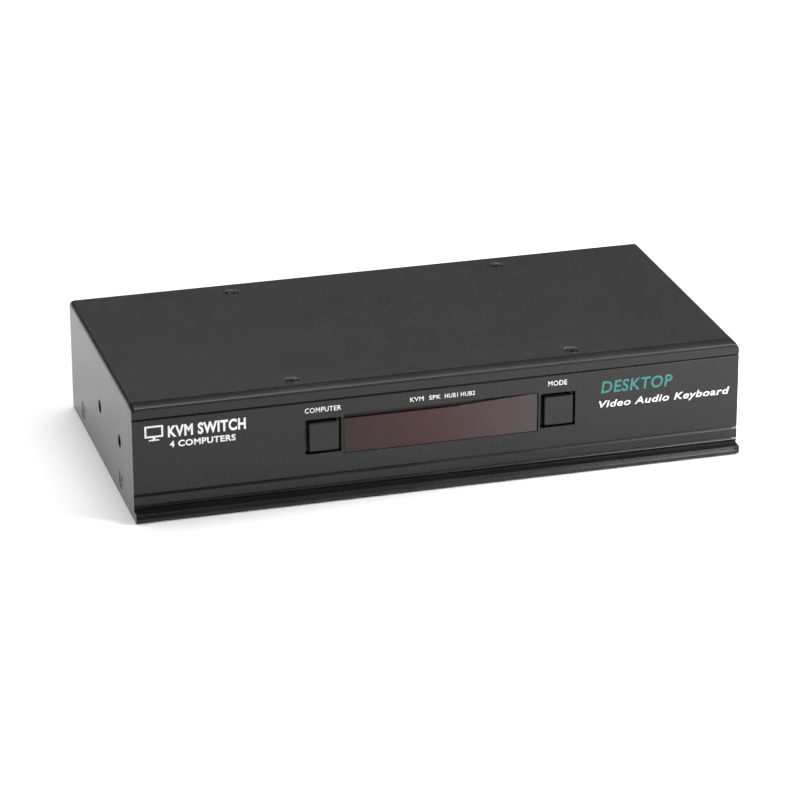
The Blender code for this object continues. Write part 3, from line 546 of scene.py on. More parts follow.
def panel_outline():
    """The extrusion's outline: how far in front of the main face, and height."""
    depth = PANEL_HIGH.y - FACE_Y
    nose = FOOT_REACH
    toe = 1.5
    rib_depth, rib_rise = 0.3, 0.45
    foot_top, rim = 3.6, 0.3
    points = [(-depth, 0.0)]
    points += arc((nose - toe, toe), (toe, toe), -90, 0, 6)
    for rib in (1.75, 2.35, 2.95):
        points += [(nose, rib), (nose - rib_depth, rib + rib_rise)]
    points += arc((nose - rim, foot_top), (rim, rim), 0, 90, 4)
    # the undercut cove above the foot, and the lip over it
    points += [(0.1, 3.95), (-0.5, 4.1), (-0.6, 4.5), (-0.1, 5.4)]
    points += [(0.05, 5.5), (0.05, 5.65), (-0.2, 5.95)]
    grooves = [(5.95, 6.75, 0.45), (10.5, 11.9, 0.8), (TOP_Z - 6.1, TOP_Z - 5.2, 0.7)]
    for low, high, deep in grooves:
        points += [(0, low), (-deep, low + 0.6 * (high - low)), (-deep, high - deep / 4), (0, high)]
    points += [(0, TOP_Z - 1.4), (-0.2, TOP_Z - 1.3), (-0.2, TOP_Z - 1.1), (0, TOP_Z - 1.0)]
    brow, slope = 0.5, 2.9  # the rounded top edge, and how far back the top rises
    points += arc((-brow, TOP_Z - 0.93), (brow, brow), 0, 76, 6)
    points += [(-slope, TOP_Z), (-depth, TOP_Z)]
    return [(FACE_Y - forward, height) for forward, height in points]


def round_panel_corners(bm):
    """Brings the ends of the top down along the cover's fold."""
    steps = 8
    for k in range(steps):
        x = SIDE_X - FOLD_RADIUS + FOLD_RADIUS * math.sin(math.radians(90 * k / steps))
        for side in (-1, 1):
            bisect(bm, (side * x, 0, 0), (1, 0, 0))
    for vert in bm.verts:
        over = abs(vert.co.x) - (SIDE_X - FOLD_RADIUS)
        if over > 0 and vert.co.z > TOP_Z - 1.9:
            vert.co.z -= FOLD_RADIUS - math.sqrt(max(0.0, FOLD_RADIUS**2 - over**2))


def within(face, low, high, y):
    """Whether a face lies in a rectangle of (x, z) on the plane at y."""
    middle = face.calc_center_median()
    inside = low[0] < middle.x < high[0] and low[1] < middle.z < high[1]
    return inside and all(abs(vert.co.y - y) < 0.01 for vert in face.verts)


def cut_opening(bm, low, high, front, back, radius):
    """Opens a rectangle through the wall, with rounded corners."""
    walls = (front, back)
    doomed = [face for face in bm.faces if any(within(face, low, high, y) for y in walls)]
    bmesh.ops.delete(bm, geom=doomed, context="FACES")
    bmesh.ops.bridge_loops(bm, edges=[edge for edge in bm.edges if edge.is_boundary])
    corners = []
    for edge in bm.edges:
        ends = [vert.co for vert in edge.verts]
        at_x = min(abs(ends[0].x - low[0]), abs(ends[0].x - high[0])) < 0.01
        at_z = min(abs(ends[0].z - low[1]), abs(ends[0].z - high[1])) < 0.01
        along = abs(ends[0].y - ends[1].y) > 1 and (ends[0] - ends[1]).xz.length < 0.01
        if at_x and at_z and along:
            corners.append(edge)
    bmesh.ops.bevel(
        bm,
        geom=corners,
        offset=radius,
        segments=4,
        profile=0.5,
        affect="EDGES",
        material=-1,
        clamp_overlap=True,
    )


def openings():
    """The window's and the two buttons' openings, as (low, high) in (x, z)."""
    found = [((PANE_LOW.x - GAP, 20.0), (PANE_HIGH.x + GAP, 38.0))]
    for name in ("computer_button", "mode_button"):
        low, high = node_box(name)
        x, z = (low.x + high.x) / 2, (low.z + high.z) / 2
        half = BUTTON_OPENING / 2
        found.append(((x - half, z - half), (x + half, z + half)))
    return found


def build_front_panel():
    bm = bmesh.new()
    ease = sizes().edge_softness / MM
    prism(bm, soften(panel_outline(), ease), "X", -SIDE_X, SIDE_X)
    round_panel_corners(bm)
    for low, high in [POCKET, *openings()]:
        for x in (low[0], high[0]):
            bisect(bm, (x, 0, 0), (1, 0, 0))
        for z in (low[1], high[1]):
            bisect(bm, (0, 0, z), (0, 0, 1))
    floor = FACE_Y + WALL
    back = [face for face in bm.faces if within(face, *POCKET, PANEL_HIGH.y)]
    push(bm, back, (0, floor - PANEL_HIGH.y, 0))
    for low, high in openings():
        cut_opening(bm, low, high, FACE_Y, floor, sizes().corner_radius / MM)
    piece = finish_piece(bm, "front_panel_extrusion", "front_panel_paint", ["front_panel"])
    piece.data.materials.append(finish_of("case_powder_coat"))
    for face in piece.data.polygons:
        if abs(face.normal.x) > 0.9 and abs(face.center.x) > (SIDE_X - 1) * MM:
            face.material_index = 1


# Display window


def build_window():
    """The pane with a lip above and below it, and the four-digit display behind."""
    bm = bmesh.new()
    front, back = PANE_LOW.y, PANE_HIGH.y
    lip = FACE_Y + WALL + GAP
    level, top, bottom = 35.75, 37.9, 20.04
    knee, rise = 8.0, 1.85  # right of the knee the face's upper edge climbs to the opening's
    ledge_in, ledge_out, ledge_rise = 0.4, 1.2, 0.22
    outline = [(front, level), (front + ledge_in, level + ledge_rise)]
    outline += [(front + ledge_out, level + ledge_rise), (front + ledge_out, top)]
    outline += [(lip, top), (lip, PANE_HIGH.z), (back, PANE_HIGH.z)]
    outline += [(back, PANE_LOW.z), (lip, PANE_LOW.z), (lip, bottom), (front, bottom)]
    prism(bm, outline, "X", PANE_LOW.x, PANE_HIGH.x)
    bisect(bm, (knee, 0, 0), (1, 0, 0))
    for vert in bm.verts:
        if level - 0.01 < vert.co.z < level + ledge_rise + 0.01:
            vert.co.z += rise * max(0.0, vert.co.x - knee) / (PANE_HIGH.x - knee)
    pane = finish_piece(bm, "display_pane", "window_acrylic", ["display_window"], ease=0.1)
    # painted shade for the set-back faces above the pane's face
    pane.data.materials.append(finish_of("acrylic_painted_shade"))
    # painted highlight for the sloping ledge right of the knee
    pane.data.materials.append(finish_of("acrylic_painted_highlight"))
    for face in pane.data.polygons:
        behind = face.center.z > (level - 0.5) * MM and face.center.y > (front + 0.05) * MM
        if behind and 0.5 < face.normal.z < 0.95 and face.center.x > knee * MM:
            # painted highlight on the upward-sloping ledge right of the knee
            face.material_index = 2
        elif behind:
            # painted shade on the set-back faces
            face.material_index = 1

    low, high = node_box("display_module")
    bm = bmesh.new()
    block(bm, low, high)
    finish_piece(bm, "display_body", "black_moulding", ["display_module"], ease=0.2)
    bm = bmesh.new()
    middle = (low + high) / 2
    pitch = (high.x - low.x) / 4
    for k in range(4):
        draw_digit(bm, low.x + pitch * (k + 0.5), middle.z, low.y)
    finish_piece(bm, "display_digits", "white_moulding", finish="segment_grey")


def draw_digit(bm, x, z, y):
    """Seven unlit segments and a point, each a thin bar just proud of the display's face."""
    wide, tall, thick = 2.3, 4.4, 0.45
    bars = [((-wide + 0.6, level - thick), (wide - 0.6, level + thick)) for level in (-tall, 0.0, tall)]
    for side in (-wide, wide):
        bars += [((side - thick, 0.55), (side + thick, tall - 0.55))]
        bars += [((side - thick, 0.55 - tall), (side + thick, -0.55))]
    bars += [((wide + 0.75, -tall - 0.4), (wide + 1.25, -tall + 0.4))]
    for low, high in bars:
        block(bm, (x + low[0], y - 0.06, z + low[1]), (x + high[0], y + 0.05, z + high[1]))


# Buttons


def build_buttons():
    """Two square caps, each on its own body, with the flange and the stem behind."""
    for name, body in (("computer_button", "computer_key"), ("mode_button", "mode_key")):
        low, high = node_box(name)
        x, z = (low.x + high.x) / 2, (low.z + high.z) / 2
        flange_half = (high.x - low.x) / 2
        flange_y = FACE_Y + WALL + GAP
        flange_back = flange_y + 1.0
        stem, half = 3.0, CAP / 2
        bm = bmesh.new()
        widths = [(stem, high.y), (stem, flange_back), (flange_half, flange_back)]
        widths += [(flange_half, flange_y), (half, flange_y), (half, low.y)]
        verts = stepped(bm, 4, [(wide, wide, y) for wide, y in widths])
        place(bm, verts, (x, 0, z))
        bmesh.ops.remove_doubles(bm, verts=bm.verts, dist=0.0005)
        bmesh.ops.recalc_face_normals(bm, faces=bm.faces)
        cap_edges = []
        for edge in bm.edges:
            ends = [vert.co for vert in edge.verts]
            on_cap = all(half - 0.05 < abs(end.x - x) < half + 0.05 for end in ends)
            if on_cap and abs(ends[0].y - ends[1].y) > 1:
                cap_edges.append(edge)
        bmesh.ops.bevel(
            bm, geom=cap_edges, offset=0.5, segments=3, profile=0.5, affect="EDGES", material=-1
        )
        rim = list(faces_on_plane(bm, low.y)[0].edges)
        bmesh.ops.bevel(bm, geom=rim, offset=0.55, segments=4, profile=0.5, affect="EDGES", material=-1)
        finish_piece(bm, f"{name}_cap", "button_plastic", [name], body=body)


# Cover


def screw_spot(name):
    low, high = node_box(name)
    return (low + high) / 2


def build_cover():
    """One sheet folded down at both sides, with pressed dimples for screws and holes for brackets."""
    edge = COVER_HIGH.x
    top = COVER_HIGH.z
    fold = arc((edge - FOLD_RADIUS, top - FOLD_RADIUS), (FOLD_RADIUS, FOLD_RADIUS), 0, 90, 8)
    right = [(edge, COVER_LOW.z), *fold]
    line = right + [(-x, z) for x, z in reversed(right)]
    bm = bmesh.new()
    verts = [bm.verts.new((x, COVER_LOW.y, z)) for x, z in line]
    edges = [bm.edges.new(pair) for pair in zip(verts, verts[1:])]
    found = bmesh.ops.extrude_edge_only(bm, edges=edges)
    bmesh.ops.translate(bm, verts=new_verts(found), vec=(0, COVER_HIGH.y - COVER_LOW.y, 0))
    bmesh.ops.recalc_face_normals(bm, faces=bm.faces)
    outward = sum(face.normal.z * face.calc_area() for face in bm.faces) > 0
    if not outward:
        bmesh.ops.reverse_faces(bm, faces=bm.faces)
    dimple = sizes().dimple_radius / MM
    seat = HEAD_RADIUS + 0.15
    rings = [(dimple, 0.0), (dimple - 0.14, 0.16), (seat + 0.15, 0.24), (seat, 0.36)]
    hole = [(BRACKET_HOLE_RADIUS + 0.2, 0.0), (BRACKET_HOLE_RADIUS, 0.16)]
    for k in range(1, 5):
        spot = screw_spot(f"cover_screw_{k}")
        punch(bm, (spot.x, spot.y, top), (0, 0, 1), (1, 0, 0), dimple + 0.6, rings)
        spot = screw_spot(f"side_screw_{k}")
        side = math.copysign(1, spot.x)
        punch(bm, (side * edge, spot.y, spot.z), (side, 0, 0), (0, 1, 0), dimple + 0.6, rings)
        spot = screw_spot(f"bracket_nut_{k}")
        side = math.copysign(1, spot.x)
        punch(bm, (side * edge, spot.y, spot.z), (side, 0, 0), (0, 1, 0), 4.2, hole)
    bmesh.ops.solidify(bm, geom=[*bm.verts, *bm.edges, *bm.faces], thickness=SHEET)
    finish_piece(bm, "folded_cover", "case_powder_coat", ["top_cover"])


# Screws


def cross_outline(half, arm):
    """A cross as (x, z): how far each arm reaches, and half its width."""
    return [
        (arm, arm), (half, arm), (half, -arm), (arm, -arm), (arm, -half), (-arm, -half),
        (-arm, -arm), (-half, -arm), (-half, arm), (-arm, arm), (-arm, half), (arm, half),
    ]


def build_screws():
    """Countersunk screws with a cross recess, drawn with the head's face at y = 0 and facing +Y."""
    for k in range(1, 5):
        for group in ("cover", "side"):
            name = f"{group}_screw_{k}"
            low, high = node_box(name)
            spot = (low + high) / 2
            bm = bmesh.new()
            rim = [(HEAD_RADIUS * x, HEAD_RADIUS * z) for x, z in circle(1.0, 32, 0.0)]
            cup(bm, rim, [cross_outline(1.45, 0.36)], -HEAD_RIM, 0.0, -0.8)
            face = faces_on_plane(bm, -HEAD_RIM)[0]
            for radius, y in ((SHANK_RADIUS, -1.5), (SHANK_RADIUS, -4.8)):
                here = face.calc_center_median().y
                old = max(vert.co.xz.length for vert in face.verts)
                face = push(bm, [face], (0, y - here, 0))[0]
                bmesh.ops.scale(bm, verts=face.verts, vec=(radius / old, 1, radius / old))
            if group == "cover":
                turn = Matrix.Rotation(math.pi / 2, 3, "X")
                seat = (spot.x, spot.y, high.z)
            else:
                side = math.copysign(1, spot.x)
                turn = Matrix.Rotation(-side * math.pi / 2, 3, "Z")
                seat = (high.x if side > 0 else low.x, spot.y, spot.z)
            swing = Matrix.Rotation(math.radians(23 + 31 * k), 3, "Y")
            place(bm, bm.verts, seat, turn @ swing)
            finish_piece(bm, f"{name}_steel", "black_screws", [name], ease=0.2)


# Rear sockets


def shell_shape(width, height, grow=0.0):
    """The video socket's outline: a rectangle whose lower corners are cut off."""
    half, tall, corner = width / 2 + grow, height / 2 + grow, 2.4
    shape = [(-half, tall), (half, tall), (half, corner - tall), (half - corner, -tall)]
    return shape + [(corner - half, -tall), (-half, corner - tall)]


def rectangle(half, low, high):
    return [(-half, low), (half, low), (half, high), (-half, high)]


def punched_block(bm, low, high, columns, rows, hole, depth):
    """A block whose +Y face has rows of small square holes."""
    block(bm, low, high)
    for k in range(1, columns):
        bisect(bm, (low[0] + (high[0] - low[0]) * k / columns, 0, 0), (1, 0, 0))
    for k in range(1, rows):
        bisect(bm, (0, 0, low[2] + (high[2] - low[2]) * k / rows), (0, 0, 1))
    cell = min((high[0] - low[0]) / columns, (high[2] - low[2]) / rows)
    cells = faces_on_plane(bm, high[1])
    bmesh.ops.inset_individual(bm, faces=cells, thickness=(cell - hole) / 2)
    for face in cells:
        push(bm, [face], (0, -depth, 0))


def shift_all(bm, spot):
    bmesh.ops.translate(bm, verts=bm.verts, vec=spot)


def on_wall(node, standing=False):
    """A socket's box, and its place on the back wall: the box's middle, or its foot if it is standing."""
    low, high = node_box(node)
    height = low.z if standing else (low.z + high.z) / 2
    return low, high, Vector(((low.x + high.x) / 2, BACK_Y, height))


def build_video_sockets():
    """Shells with rounded mouths, the contact block inside, and two hexagonal posts each."""
    wide, tall = 25.4, 9.2
    for name in PORTS:
        node = f"video_socket_{name}"
        low, high, spot = on_wall(node)
        reach = high.y - BACK_Y
        bm = bmesh.new()
        nose = soften(shell_shape(wide, tall), 0.9)
        mouth = soften(shell_shape(wide, tall, -0.6), 0.8)
        cup(bm, nose, [mouth], -2.5, reach, reach - 7.5)
        shift_all(bm, spot)
        add_flange(bm, spot, low, high)
        finish_piece(bm, f"video_shell_{name}", "socket_shell", [node], ease=0.16)
        bm = bmesh.new()
        prism(bm, shell_shape(wide, tall, -1.6), "Y", reach - 7.6, reach - 1.7)
        shift_all(bm, spot)
        finish_piece(bm, f"video_block_{name}", "black_moulding", ease=0.2)
        bm = bmesh.new()
        front = reach - 1.25
        punched_block(bm, (-10.4, front - 0.9, -2.9), (4.9, front, 2.9), 8, 3, 1.0, 0.7)
        for x in (7.2, 9.4):
            for z in (-1.5, 1.5):
                part = bmesh.new()
                corner = (x + 0.9, front, z + 1.1)
                punched_block(part, (x - 0.9, front - 0.9, z - 1.1), corner, 1, 1, 0.9, 0.7)
                merge(bm, part)
        shift_all(bm, spot)
        finish_piece(bm, f"video_contacts_{name}", "black_moulding")
        bm = bmesh.new()
        widths = [(2.4, 0.02), (2.4, 4.0), (1.55, 4.0), (1.35, 3.8), (1.35, 0.8)]
        for side in (-1, 1):
            post = stepped(bm, 6, [(half, half, y) for half, y in widths])
            place(bm, post, (side * 16.6, 0, 0))
        shift_all(bm, spot)
        finish_piece(bm, f"video_posts_{name}", "zinc_steel", ease=0.15)


def add_flange(bm, spot, low, high):
    """The socket's flange and housing behind the wall."""
    part = bmesh.new()
    block(part, (low.x, BACK_Y - 2.5, low.z), (high.x, BACK_Y - 1.5, high.z))
    block(part, (spot.x - 15.0, low.y, low.z + GAP), (spot.x + 15.0, BACK_Y - 2.45, high.z - 0.4))
    merge(bm, part)


def merge(bm, part):
    """Adds another drawing to this one."""
    mesh = bpy.data.meshes.new("part")
    part.to_mesh(mesh)
    part.free()
    bm.from_mesh(mesh)
    bpy.data.meshes.remove(mesh)


def build_usb_sockets():
    """Steel shells, each with its plastic tongue and gold contacts."""
    for name in PORTS:
        node = f"usb_socket_{name}"
        low, high, spot = on_wall(node, standing=True)
        wide, tall = high.x - low.x, high.z - low.z
        front, back = high.y - BACK_Y, low.y - BACK_Y
        outer = soften(rectangle(wide / 2, 0, tall), 0.8)
        if name == "console":
            mouths = [rectangle(6.25, z, z + 5.1) for z in (1.6, 8.9)]
            tongues = [((-5.5, z + 2.55), (5.5, z + 4.35)) for z in (1.6, 8.9)]
            depth = 10.0
        else:
            z = (tall - 7.8) / 2
            mouth = [(-4.2, z), (4.2, z), (4.2, z + 6.2), (2.6, z + 7.8), (-2.6, z + 7.8), (-4.2, z + 6.2)]
            mouths = [mouth]
            tongues = [((-2.8, tall / 2 - 1.6), (2.8, tall / 2 + 1.6))]
            depth = 9.0
        bm = bmesh.new()
        cup(bm, outer, [soften(mouth, 0.35) for mouth in mouths], back, front, -depth)
        shift_all(bm, spot)
        finish_piece(bm, f"usb_shell_{name}", "socket_shell", [node], ease=0.14)
        bm = bmesh.new()
        gold = bmesh.new()
        for (left, bottom), (right, top) in tongues:
            block(bm, (left, -depth + 0.02, bottom), (right, -1.0, top))
            for k in range(4):
                x = left + (right - left) * (k + 0.5) / 4
                block(gold, (x - 0.45, -depth + 0.5, bottom - 0.06), (x + 0.45, -1.4, bottom + 0.05))
        shift_all(bm, spot)
        shift_all(gold, spot)
        finish_piece(bm, f"usb_tongue_{name}", "black_moulding", ease=0.2)
        finish_piece(gold, f"usb_contacts_{name}", "socket_shell", finish="contact_gold")


def build_audio_sockets():
    """Round noses through the wall, each with a plated ring at its bore."""
    for name in PORTS:
        node = f"audio_socket_{name}"
        low, high, spot = on_wall(node)
        reach = high.y - BACK_Y
        bm = bmesh.new()
        cup(bm, circle(3.5), [circle(2.35)], -1.5, reach, -8.0)
        shift_all(bm, spot)
        part = bmesh.new()
        block(part, (low.x, low.y, low.z), (high.x, BACK_Y - 1.52, high.z))
        merge(bm, part)
        finish_piece(bm, f"audio_nose_{name}", "black_moulding", [node], ease=0.25)
        bm = bmesh.new()
        cup(bm, circle(2.15), [circle(1.8)], -0.8, reach - 0.4, -0.75)
        shift_all(bm, spot)
        finish_piece(bm, f"audio_ring_{name}", "socket_shell", ease=0.1)


def build_power_and_options():
    """The round power inlet with its pin, and the eight-way modular socket with its contacts."""
    low, high, spot = on_wall("power_socket")
    front = high.y - BACK_Y
    wide, tall = high.x - low.x, high.z - low.z
    bm = bmesh.new()
    outer = soften(rectangle(wide / 2, -tall / 2, tall / 2), 0.6)
    cup(bm, outer, [circle(3.2)], low.y - BACK_Y, front, front - 9.0)
    shift_all(bm, spot)
    finish_piece(bm, "power_inlet", "black_moulding", ["power_socket"], ease=0.2)
    bm = bmesh.new()
    stepped(bm, 24, [(1.0, 1.0, front - 9.0), (1.0, 1.0, front - 0.5), (0.6, 0.6, front - 0.1)])
    shift_all(bm, spot)
    finish_piece(bm, "power_pin", "zinc_steel")

    low, high, spot = on_wall("options_socket", standing=True)
    wide, tall = high.x - low.x, high.z - low.z
    plug, latch = (5.9, 7.0), (3.1, 2.2)  # half width and height of the plug's and its latch's openings
    base = (tall - plug[1] - latch[1]) / 2
    top = base + plug[1]
    mouth = [(-plug[0], base), (plug[0], base), (plug[0], top), (latch[0], top)]
    mouth += [(latch[0], top + latch[1]), (-latch[0], top + latch[1]), (-latch[0], top), (-plug[0], top)]
    bm = bmesh.new()
    cup(bm, soften(rectangle(wide / 2, 0, tall), 0.7), [mouth], low.y - BACK_Y, high.y - BACK_Y, -12.0)
    shift_all(bm, spot)
    finish_piece(bm, "options_body", "black_moulding", ["options_socket"], ease=0.18)
    bm = bmesh.new()
    contacts, pitch, tip = 8, 1.27, -1.6
    lean = Matrix.Rotation(math.radians(-14), 3, "X")
    for k in range(contacts):
        x = (k - (contacts - 1) / 2) * pitch
        verts = block(bm, (x - 0.2, -9.0, base + 0.1), (x + 0.2, tip, base + 0.4))
        bmesh.ops.rotate(bm, verts=verts, cent=(0, tip, base), matrix=lean)
    shift_all(bm, spot)
    finish_piece(bm, "options_contacts", "zinc_steel", finish="contact_gold")


# Labels


def write(name, words, left, base, height, width, weight, ink="label_ink", lean=0.0, behind=False):
    """Printed words on the front, or on the wall behind: left end, foot of the letters, capital height
    and overall width, in millimetres."""
    curve = bpy.data.curves.new(name, "FONT")
    curve.body = words
    curve.size = 1.0
    curve.offset = weight
    curve.shear = lean
    curve.resolution_u = 4
    curve.space_character = 1.08
    drawn = add_object(name, curve)
    bpy.context.view_layer.update()
    graph = bpy.context.evaluated_depsgraph_get()
    mesh = bpy.data.meshes.new_from_object(drawn.evaluated_get(graph))
    bpy.data.objects.remove(drawn)
    bpy.data.curves.remove(curve)
    bm = bmesh.new()
    bm.from_mesh(mesh)
    bpy.data.meshes.remove(mesh)
    bmesh.ops.remove_doubles(bm, verts=bm.verts, dist=0.0005)
    low = Vector([min(vert.co[k] for vert in bm.verts) for k in range(3)])
    high = Vector([max(vert.co[k] for vert in bm.verts) for k in range(3)])
    tall = height / (high.y - low.y)
    wide = width / (high.x - low.x)
    bmesh.ops.translate(bm, verts=bm.verts, vec=-low)
    bmesh.ops.scale(bm, verts=bm.verts, vec=(wide, tall, 1))
    thick = sizes().print_thickness / MM
    push(bm, list(bm.faces), (0, 0, thick))
    turn = Matrix.Rotation(math.pi / 2, 3, "X")
    y = FACE_Y - PRINT_LIFT
    if behind:
        turn = Matrix.Rotation(math.pi, 3, "Z") @ turn
        y = BACK_Y + PRINT_LIFT
    place(bm, bm.verts, (left, y, base), turn)
    finish_piece(bm, name, "white_moulding", finish=ink, sharp=60)


def build_monitor_mark():
    """A plain monitor outline before the first words."""
    bm = bmesh.new()
    thick = sizes().print_thickness / MM + PRINT_LIFT
    bars = [((-129.6, 41.5), (-121.6, 42.3)), ((-129.6, 37.0), (-121.6, 37.8))]
    bars += [((-129.6, 37.8), (-128.8, 41.5)), ((-122.4, 37.8), (-121.6, 41.5))]
    bars += [((-126.2, 36.1), (-125.0, 37.0)), ((-127.8, 35.5), (-123.4, 36.1))]
    for low, high in bars:
        block(bm, (low[0], FACE_Y - thick, low[1]), (high[0], FACE_Y - PRINT_LIFT, high[1]))
    finish_piece(bm, "monitor_mark", "white_moulding", finish="label_ink")


def build_labels():
    build_monitor_mark()
    # name, words, left end, foot, capital height, width and weight
    front = [
        ("title", "KVM SWITCH", -119.6, 36.3, 5.3, 33.6, 0.036),
        ("ports", "4 COMPUTERS", -119.0, 31.7, 2.9, 28.5, 0.03),
        ("computer", "COMPUTER", -60.3, 40.2, 2.3, 15.9, 0.008),
        ("mode", "MODE", 47.8, 40.4, 2.3, 8.5, 0.006),
        ("kvm", "KVM", -14.0, 40.25, 2.0, 6.0, 0.008),
        ("speaker", "SPK", -5.6, 40.25, 2.0, 5.2, 0.008),
        ("hub_1", "HUB1", 1.4, 40.25, 2.0, 5.8, 0.008),
        ("hub_2", "HUB2", 8.5, 40.25, 2.0, 6.4, 0.008),
    ]
    for name, *place_and_size in front:
        write(f"label_{name}", *place_and_size)
    write("label_word", "DESKTOP", 71.9, 34.3, 5.6, 32.6, 0.018, ink="accent_ink", lean=0.12)
    write("label_line", "Video Audio Keyboard", 71.0, 26.6, 4.3, 60.0, 0.016, lean=0.22)
    rear = [("console", "video_socket_console", "CONSOLE", 42.3, 2.2, 11.2)]
    for k, port in enumerate(PORTS[1:], 1):
        rear.append((port, f"video_socket_{port}", f"COMPUTER {k}", 42.3, 2.2, 14.0))
    rear.append(("power_socket", "power_socket", "5V DC", 23.6, 1.8, 7.6))
    rear.append(("options_socket", "options_socket", "OPTIONS", 23.6, 1.8, 9.6))
    for name, node, words, base, height, width in rear:
        low, high = node_box(node)
        left = (low.x + high.x) / 2 + width / 2
        write(f"label_{name}", words, left, base, height, width, 0.012, behind=True)


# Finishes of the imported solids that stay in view


def paint_kept_solids():
    """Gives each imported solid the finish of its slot."""
    record_slots = [entry["slot"] for entry in frame["record"]["materials"]]
    for node in frame["nodes"].values():
        for holder in node.material_slots:
            slot = next((name for name in record_slots if holder.name.startswith(name)), None)
            if slot is None:
                raise ValueError(f"{node.name} has the unknown finish {holder.name}")
            holder.material = finish_of(slot)


# Stage


def add_area(name, spot, aim, width, height, power, glossy_only=False):
    """A soft box. One that is glossy_only shows in glossy faces and leaves the floor's shadows alone."""
    data = bpy.data.lights.new(name, "AREA")
    data.shape = "RECTANGLE"
    data.size = width
    data.size_y = height
    data.energy = power
    light = add_object(name, data)
    light.visible_diffuse = not glossy_only
    light.location = spot
    light.rotation_euler = (Vector(aim) - Vector(spot)).to_track_quat("-Z", "Y").to_euler()


def build_floor():
    bm = bmesh.new()
    bmesh.ops.create_grid(bm, x_segments=1, y_segments=1, size=6.0)
    bmesh.ops.translate(bm, verts=bm.verts, vec=(0, 0, -0.0003))
    mesh = bpy.data.meshes.new("floor")
    bm.to_mesh(mesh)
    bm.free()
    material, _, _ = start_material("white_floor", (0.86, 0.86, 0.86), 0.9, specular=0.1)
    mesh.materials.append(material)
    floor = add_object("floor", mesh)


def build_world():
    world = bpy.data.worlds.new("studio")
    bpy.context.scene.world = world
    world.use_nodes = True
    tree = world.node_tree
    background = tree.nodes["Background"]
    path = tree.nodes.new("ShaderNodeLightPath")
    mix = tree.nodes.new("ShaderNodeMix")
    mix.data_type = "RGBA"
    mix.inputs[6].default_value = (0.055, 0.055, 0.055, 1.0)
    mix.inputs[7].default_value = (1.0, 1.0, 1.0, 1.0)
    tree.links.new(path.outputs["Is Camera Ray"], mix.inputs[0])
    tree.links.new(mix.outputs[2], background.inputs["Color"])


def add_sun(name, source, spread_angle, strength):
    """Even light from one side, given by the way that it comes from."""
    data = bpy.data.lights.new(name, "SUN")
    data.energy = strength
    data.angle = math.radians(spread_angle)
    light = add_object(name, data)
    light.rotation_euler = Vector(source).to_track_quat("Z", "Y").to_euler()


def build_lights():
    add_sun("overhead", (0.0, 0.33, 1.0), 60, 3.7)
    add_area("key", (0.46, -0.62, 0.56), (0.14, -0.07, 0.0), 0.2, 0.2, 4.8, glossy_only=True)
    add_area("right_wash", (0.52, -0.29, 0.30), (0.15, -0.12, 0.0), 0.3, 0.3, 6.6)


def build_camera():
    azimuth, elevation, roll = (math.radians(angle) for angle in (-15.658, 21.914, -0.253))
    right = Vector((math.cos(azimuth), math.sin(azimuth), 0))
    back = Vector(
        (
            math.sin(azimuth) * math.cos(elevation),
            -math.cos(azimuth) * math.cos(elevation),
            math.sin(elevation),
        )
    )
    up = back.cross(right)
    level = math.cos(roll) * right + math.sin(roll) * up
    upright = math.cos(roll) * up - math.sin(roll) * right
    data = bpy.data.cameras.new("camera")
    data.lens = 166.1
    data.sensor_width = 36.0
    data.shift_x = 0.0073
    data.shift_y = -0.0255
    data.clip_end = 50.0
    camera = add_object("camera", data)
    target = Vector((0, FACE_Y * MM + 0.075, 0.020))
    turned = Matrix((level, upright, back)).transposed().to_4x4()
    camera.matrix_world = Matrix.Translation(target + back * 1.6504) @ turned
    bpy.context.scene.camera = camera


def build_stage():
    bpy.context.scene.view_settings.view_transform = "Standard"
    build_floor()
    build_world()
    build_lights()
    build_camera()


# Operators


class KVM_OT_stage(bpy.types.Operator):
    """Makes the floor, the lights and the camera"""

    bl_idname = "kvm.stage"
    bl_label = "Stage"

    def execute(self, context):
        build_stage()
        return {"FINISHED"}


class KVM_OT_packed_finishes(bpy.types.Operator):
    """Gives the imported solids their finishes"""

    bl_idname = "kvm.packed_finishes"
    bl_label = "Packed solids' finishes"

    def execute(self, context):
        paint_kept_solids()
        return {"FINISHED"}


class KVM_OT_front_panel(bpy.types.Operator):
    """Makes the front panel's extrusion with its openings and grooves"""

    bl_idname = "kvm.front_panel"
    bl_label = "Front panel"

    def execute(self, context):
        build_front_panel()
        return {"FINISHED"}


class KVM_OT_window(bpy.types.Operator):
    """Makes the display's pane and the four digits behind it"""

    bl_idname = "kvm.window"
    bl_label = "Display window"

    def execute(self, context):
        build_window()
        return {"FINISHED"}


class KVM_OT_buttons(bpy.types.Operator):
    """Makes the two button caps"""

    bl_idname = "kvm.buttons"
    bl_label = "Buttons"

    def execute(self, context):
        build_buttons()
        return {"FINISHED"}


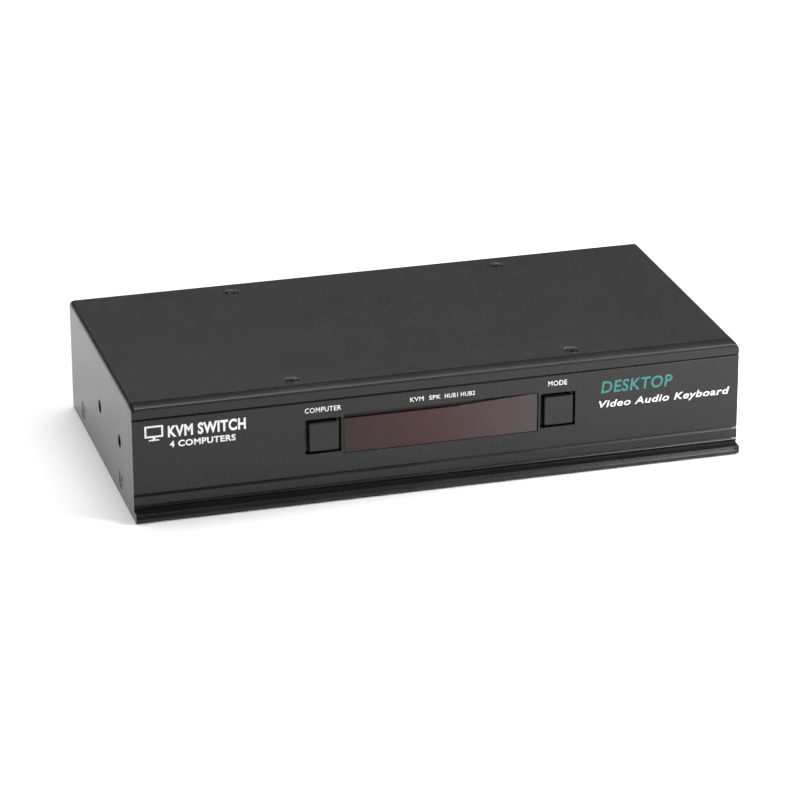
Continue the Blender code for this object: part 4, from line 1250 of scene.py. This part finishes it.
class KVM_OT_cover(bpy.types.Operator):
    """Makes the folded cover with its dimples and holes"""

    bl_idname = "kvm.cover"
    bl_label = "Cover"

    def execute(self, context):
        build_cover()
        return {"FINISHED"}


class KVM_OT_screws(bpy.types.Operator):
    """Makes the countersunk screws of the top and the sides"""

    bl_idname = "kvm.screws"
    bl_label = "Screws"

    def execute(self, context):
        build_screws()
        return {"FINISHED"}


class KVM_OT_rear_sockets(bpy.types.Operator):
    """Makes the video, USB, audio, power and options sockets"""

    bl_idname = "kvm.rear_sockets"
    bl_label = "Rear sockets"

    def execute(self, context):
        build_video_sockets()
        build_usb_sockets()
        build_audio_sockets()
        build_power_and_options()
        return {"FINISHED"}


class KVM_OT_labels(bpy.types.Operator):
    """Prints the labels"""

    bl_idname = "kvm.labels"
    bl_label = "Labels"

    def execute(self, context):
        build_labels()
        return {"FINISHED"}


OPERATORS = (
    KVM_OT_stage,
    KVM_OT_packed_finishes,
    KVM_OT_front_panel,
    KVM_OT_window,
    KVM_OT_buttons,
    KVM_OT_cover,
    KVM_OT_screws,
    KVM_OT_rear_sockets,
    KVM_OT_labels,
)


class KVM_PT_sidebar(bpy.types.Panel):
    """Sizes, colours and pieces of the KVM switch"""

    bl_idname = "KVM_PT_sidebar"
    bl_label = "KVM switch"
    bl_space_type = "VIEW_3D"
    bl_region_type = "UI"
    bl_category = "KVM switch"

    def draw(self, context):
        for group in (context.scene.kvm_sizes, context.scene.kvm_colours):
            for name in group.__annotations__:
                self.layout.prop(group, name)
        for operator in OPERATORS:
            self.layout.operator(operator.bl_idname)


CLASSES = (KvmSizes, KvmColours, *OPERATORS, KVM_PT_sidebar)


def register():
    for entry in CLASSES:
        bpy.utils.register_class(entry)
    bpy.types.Scene.kvm_sizes = PointerProperty(type=KvmSizes)
    bpy.types.Scene.kvm_colours = PointerProperty(type=KvmColours)


def unregister():
    del bpy.types.Scene.kvm_colours
    del bpy.types.Scene.kvm_sizes
    for entry in reversed(CLASSES):
        bpy.utils.unregister_class(entry)


def main():
    register()
    for operator in OPERATORS:
        group, name = operator.bl_idname.split(".")
        getattr(getattr(bpy.ops, group), name)()


if __name__ == "__main__":
    main()
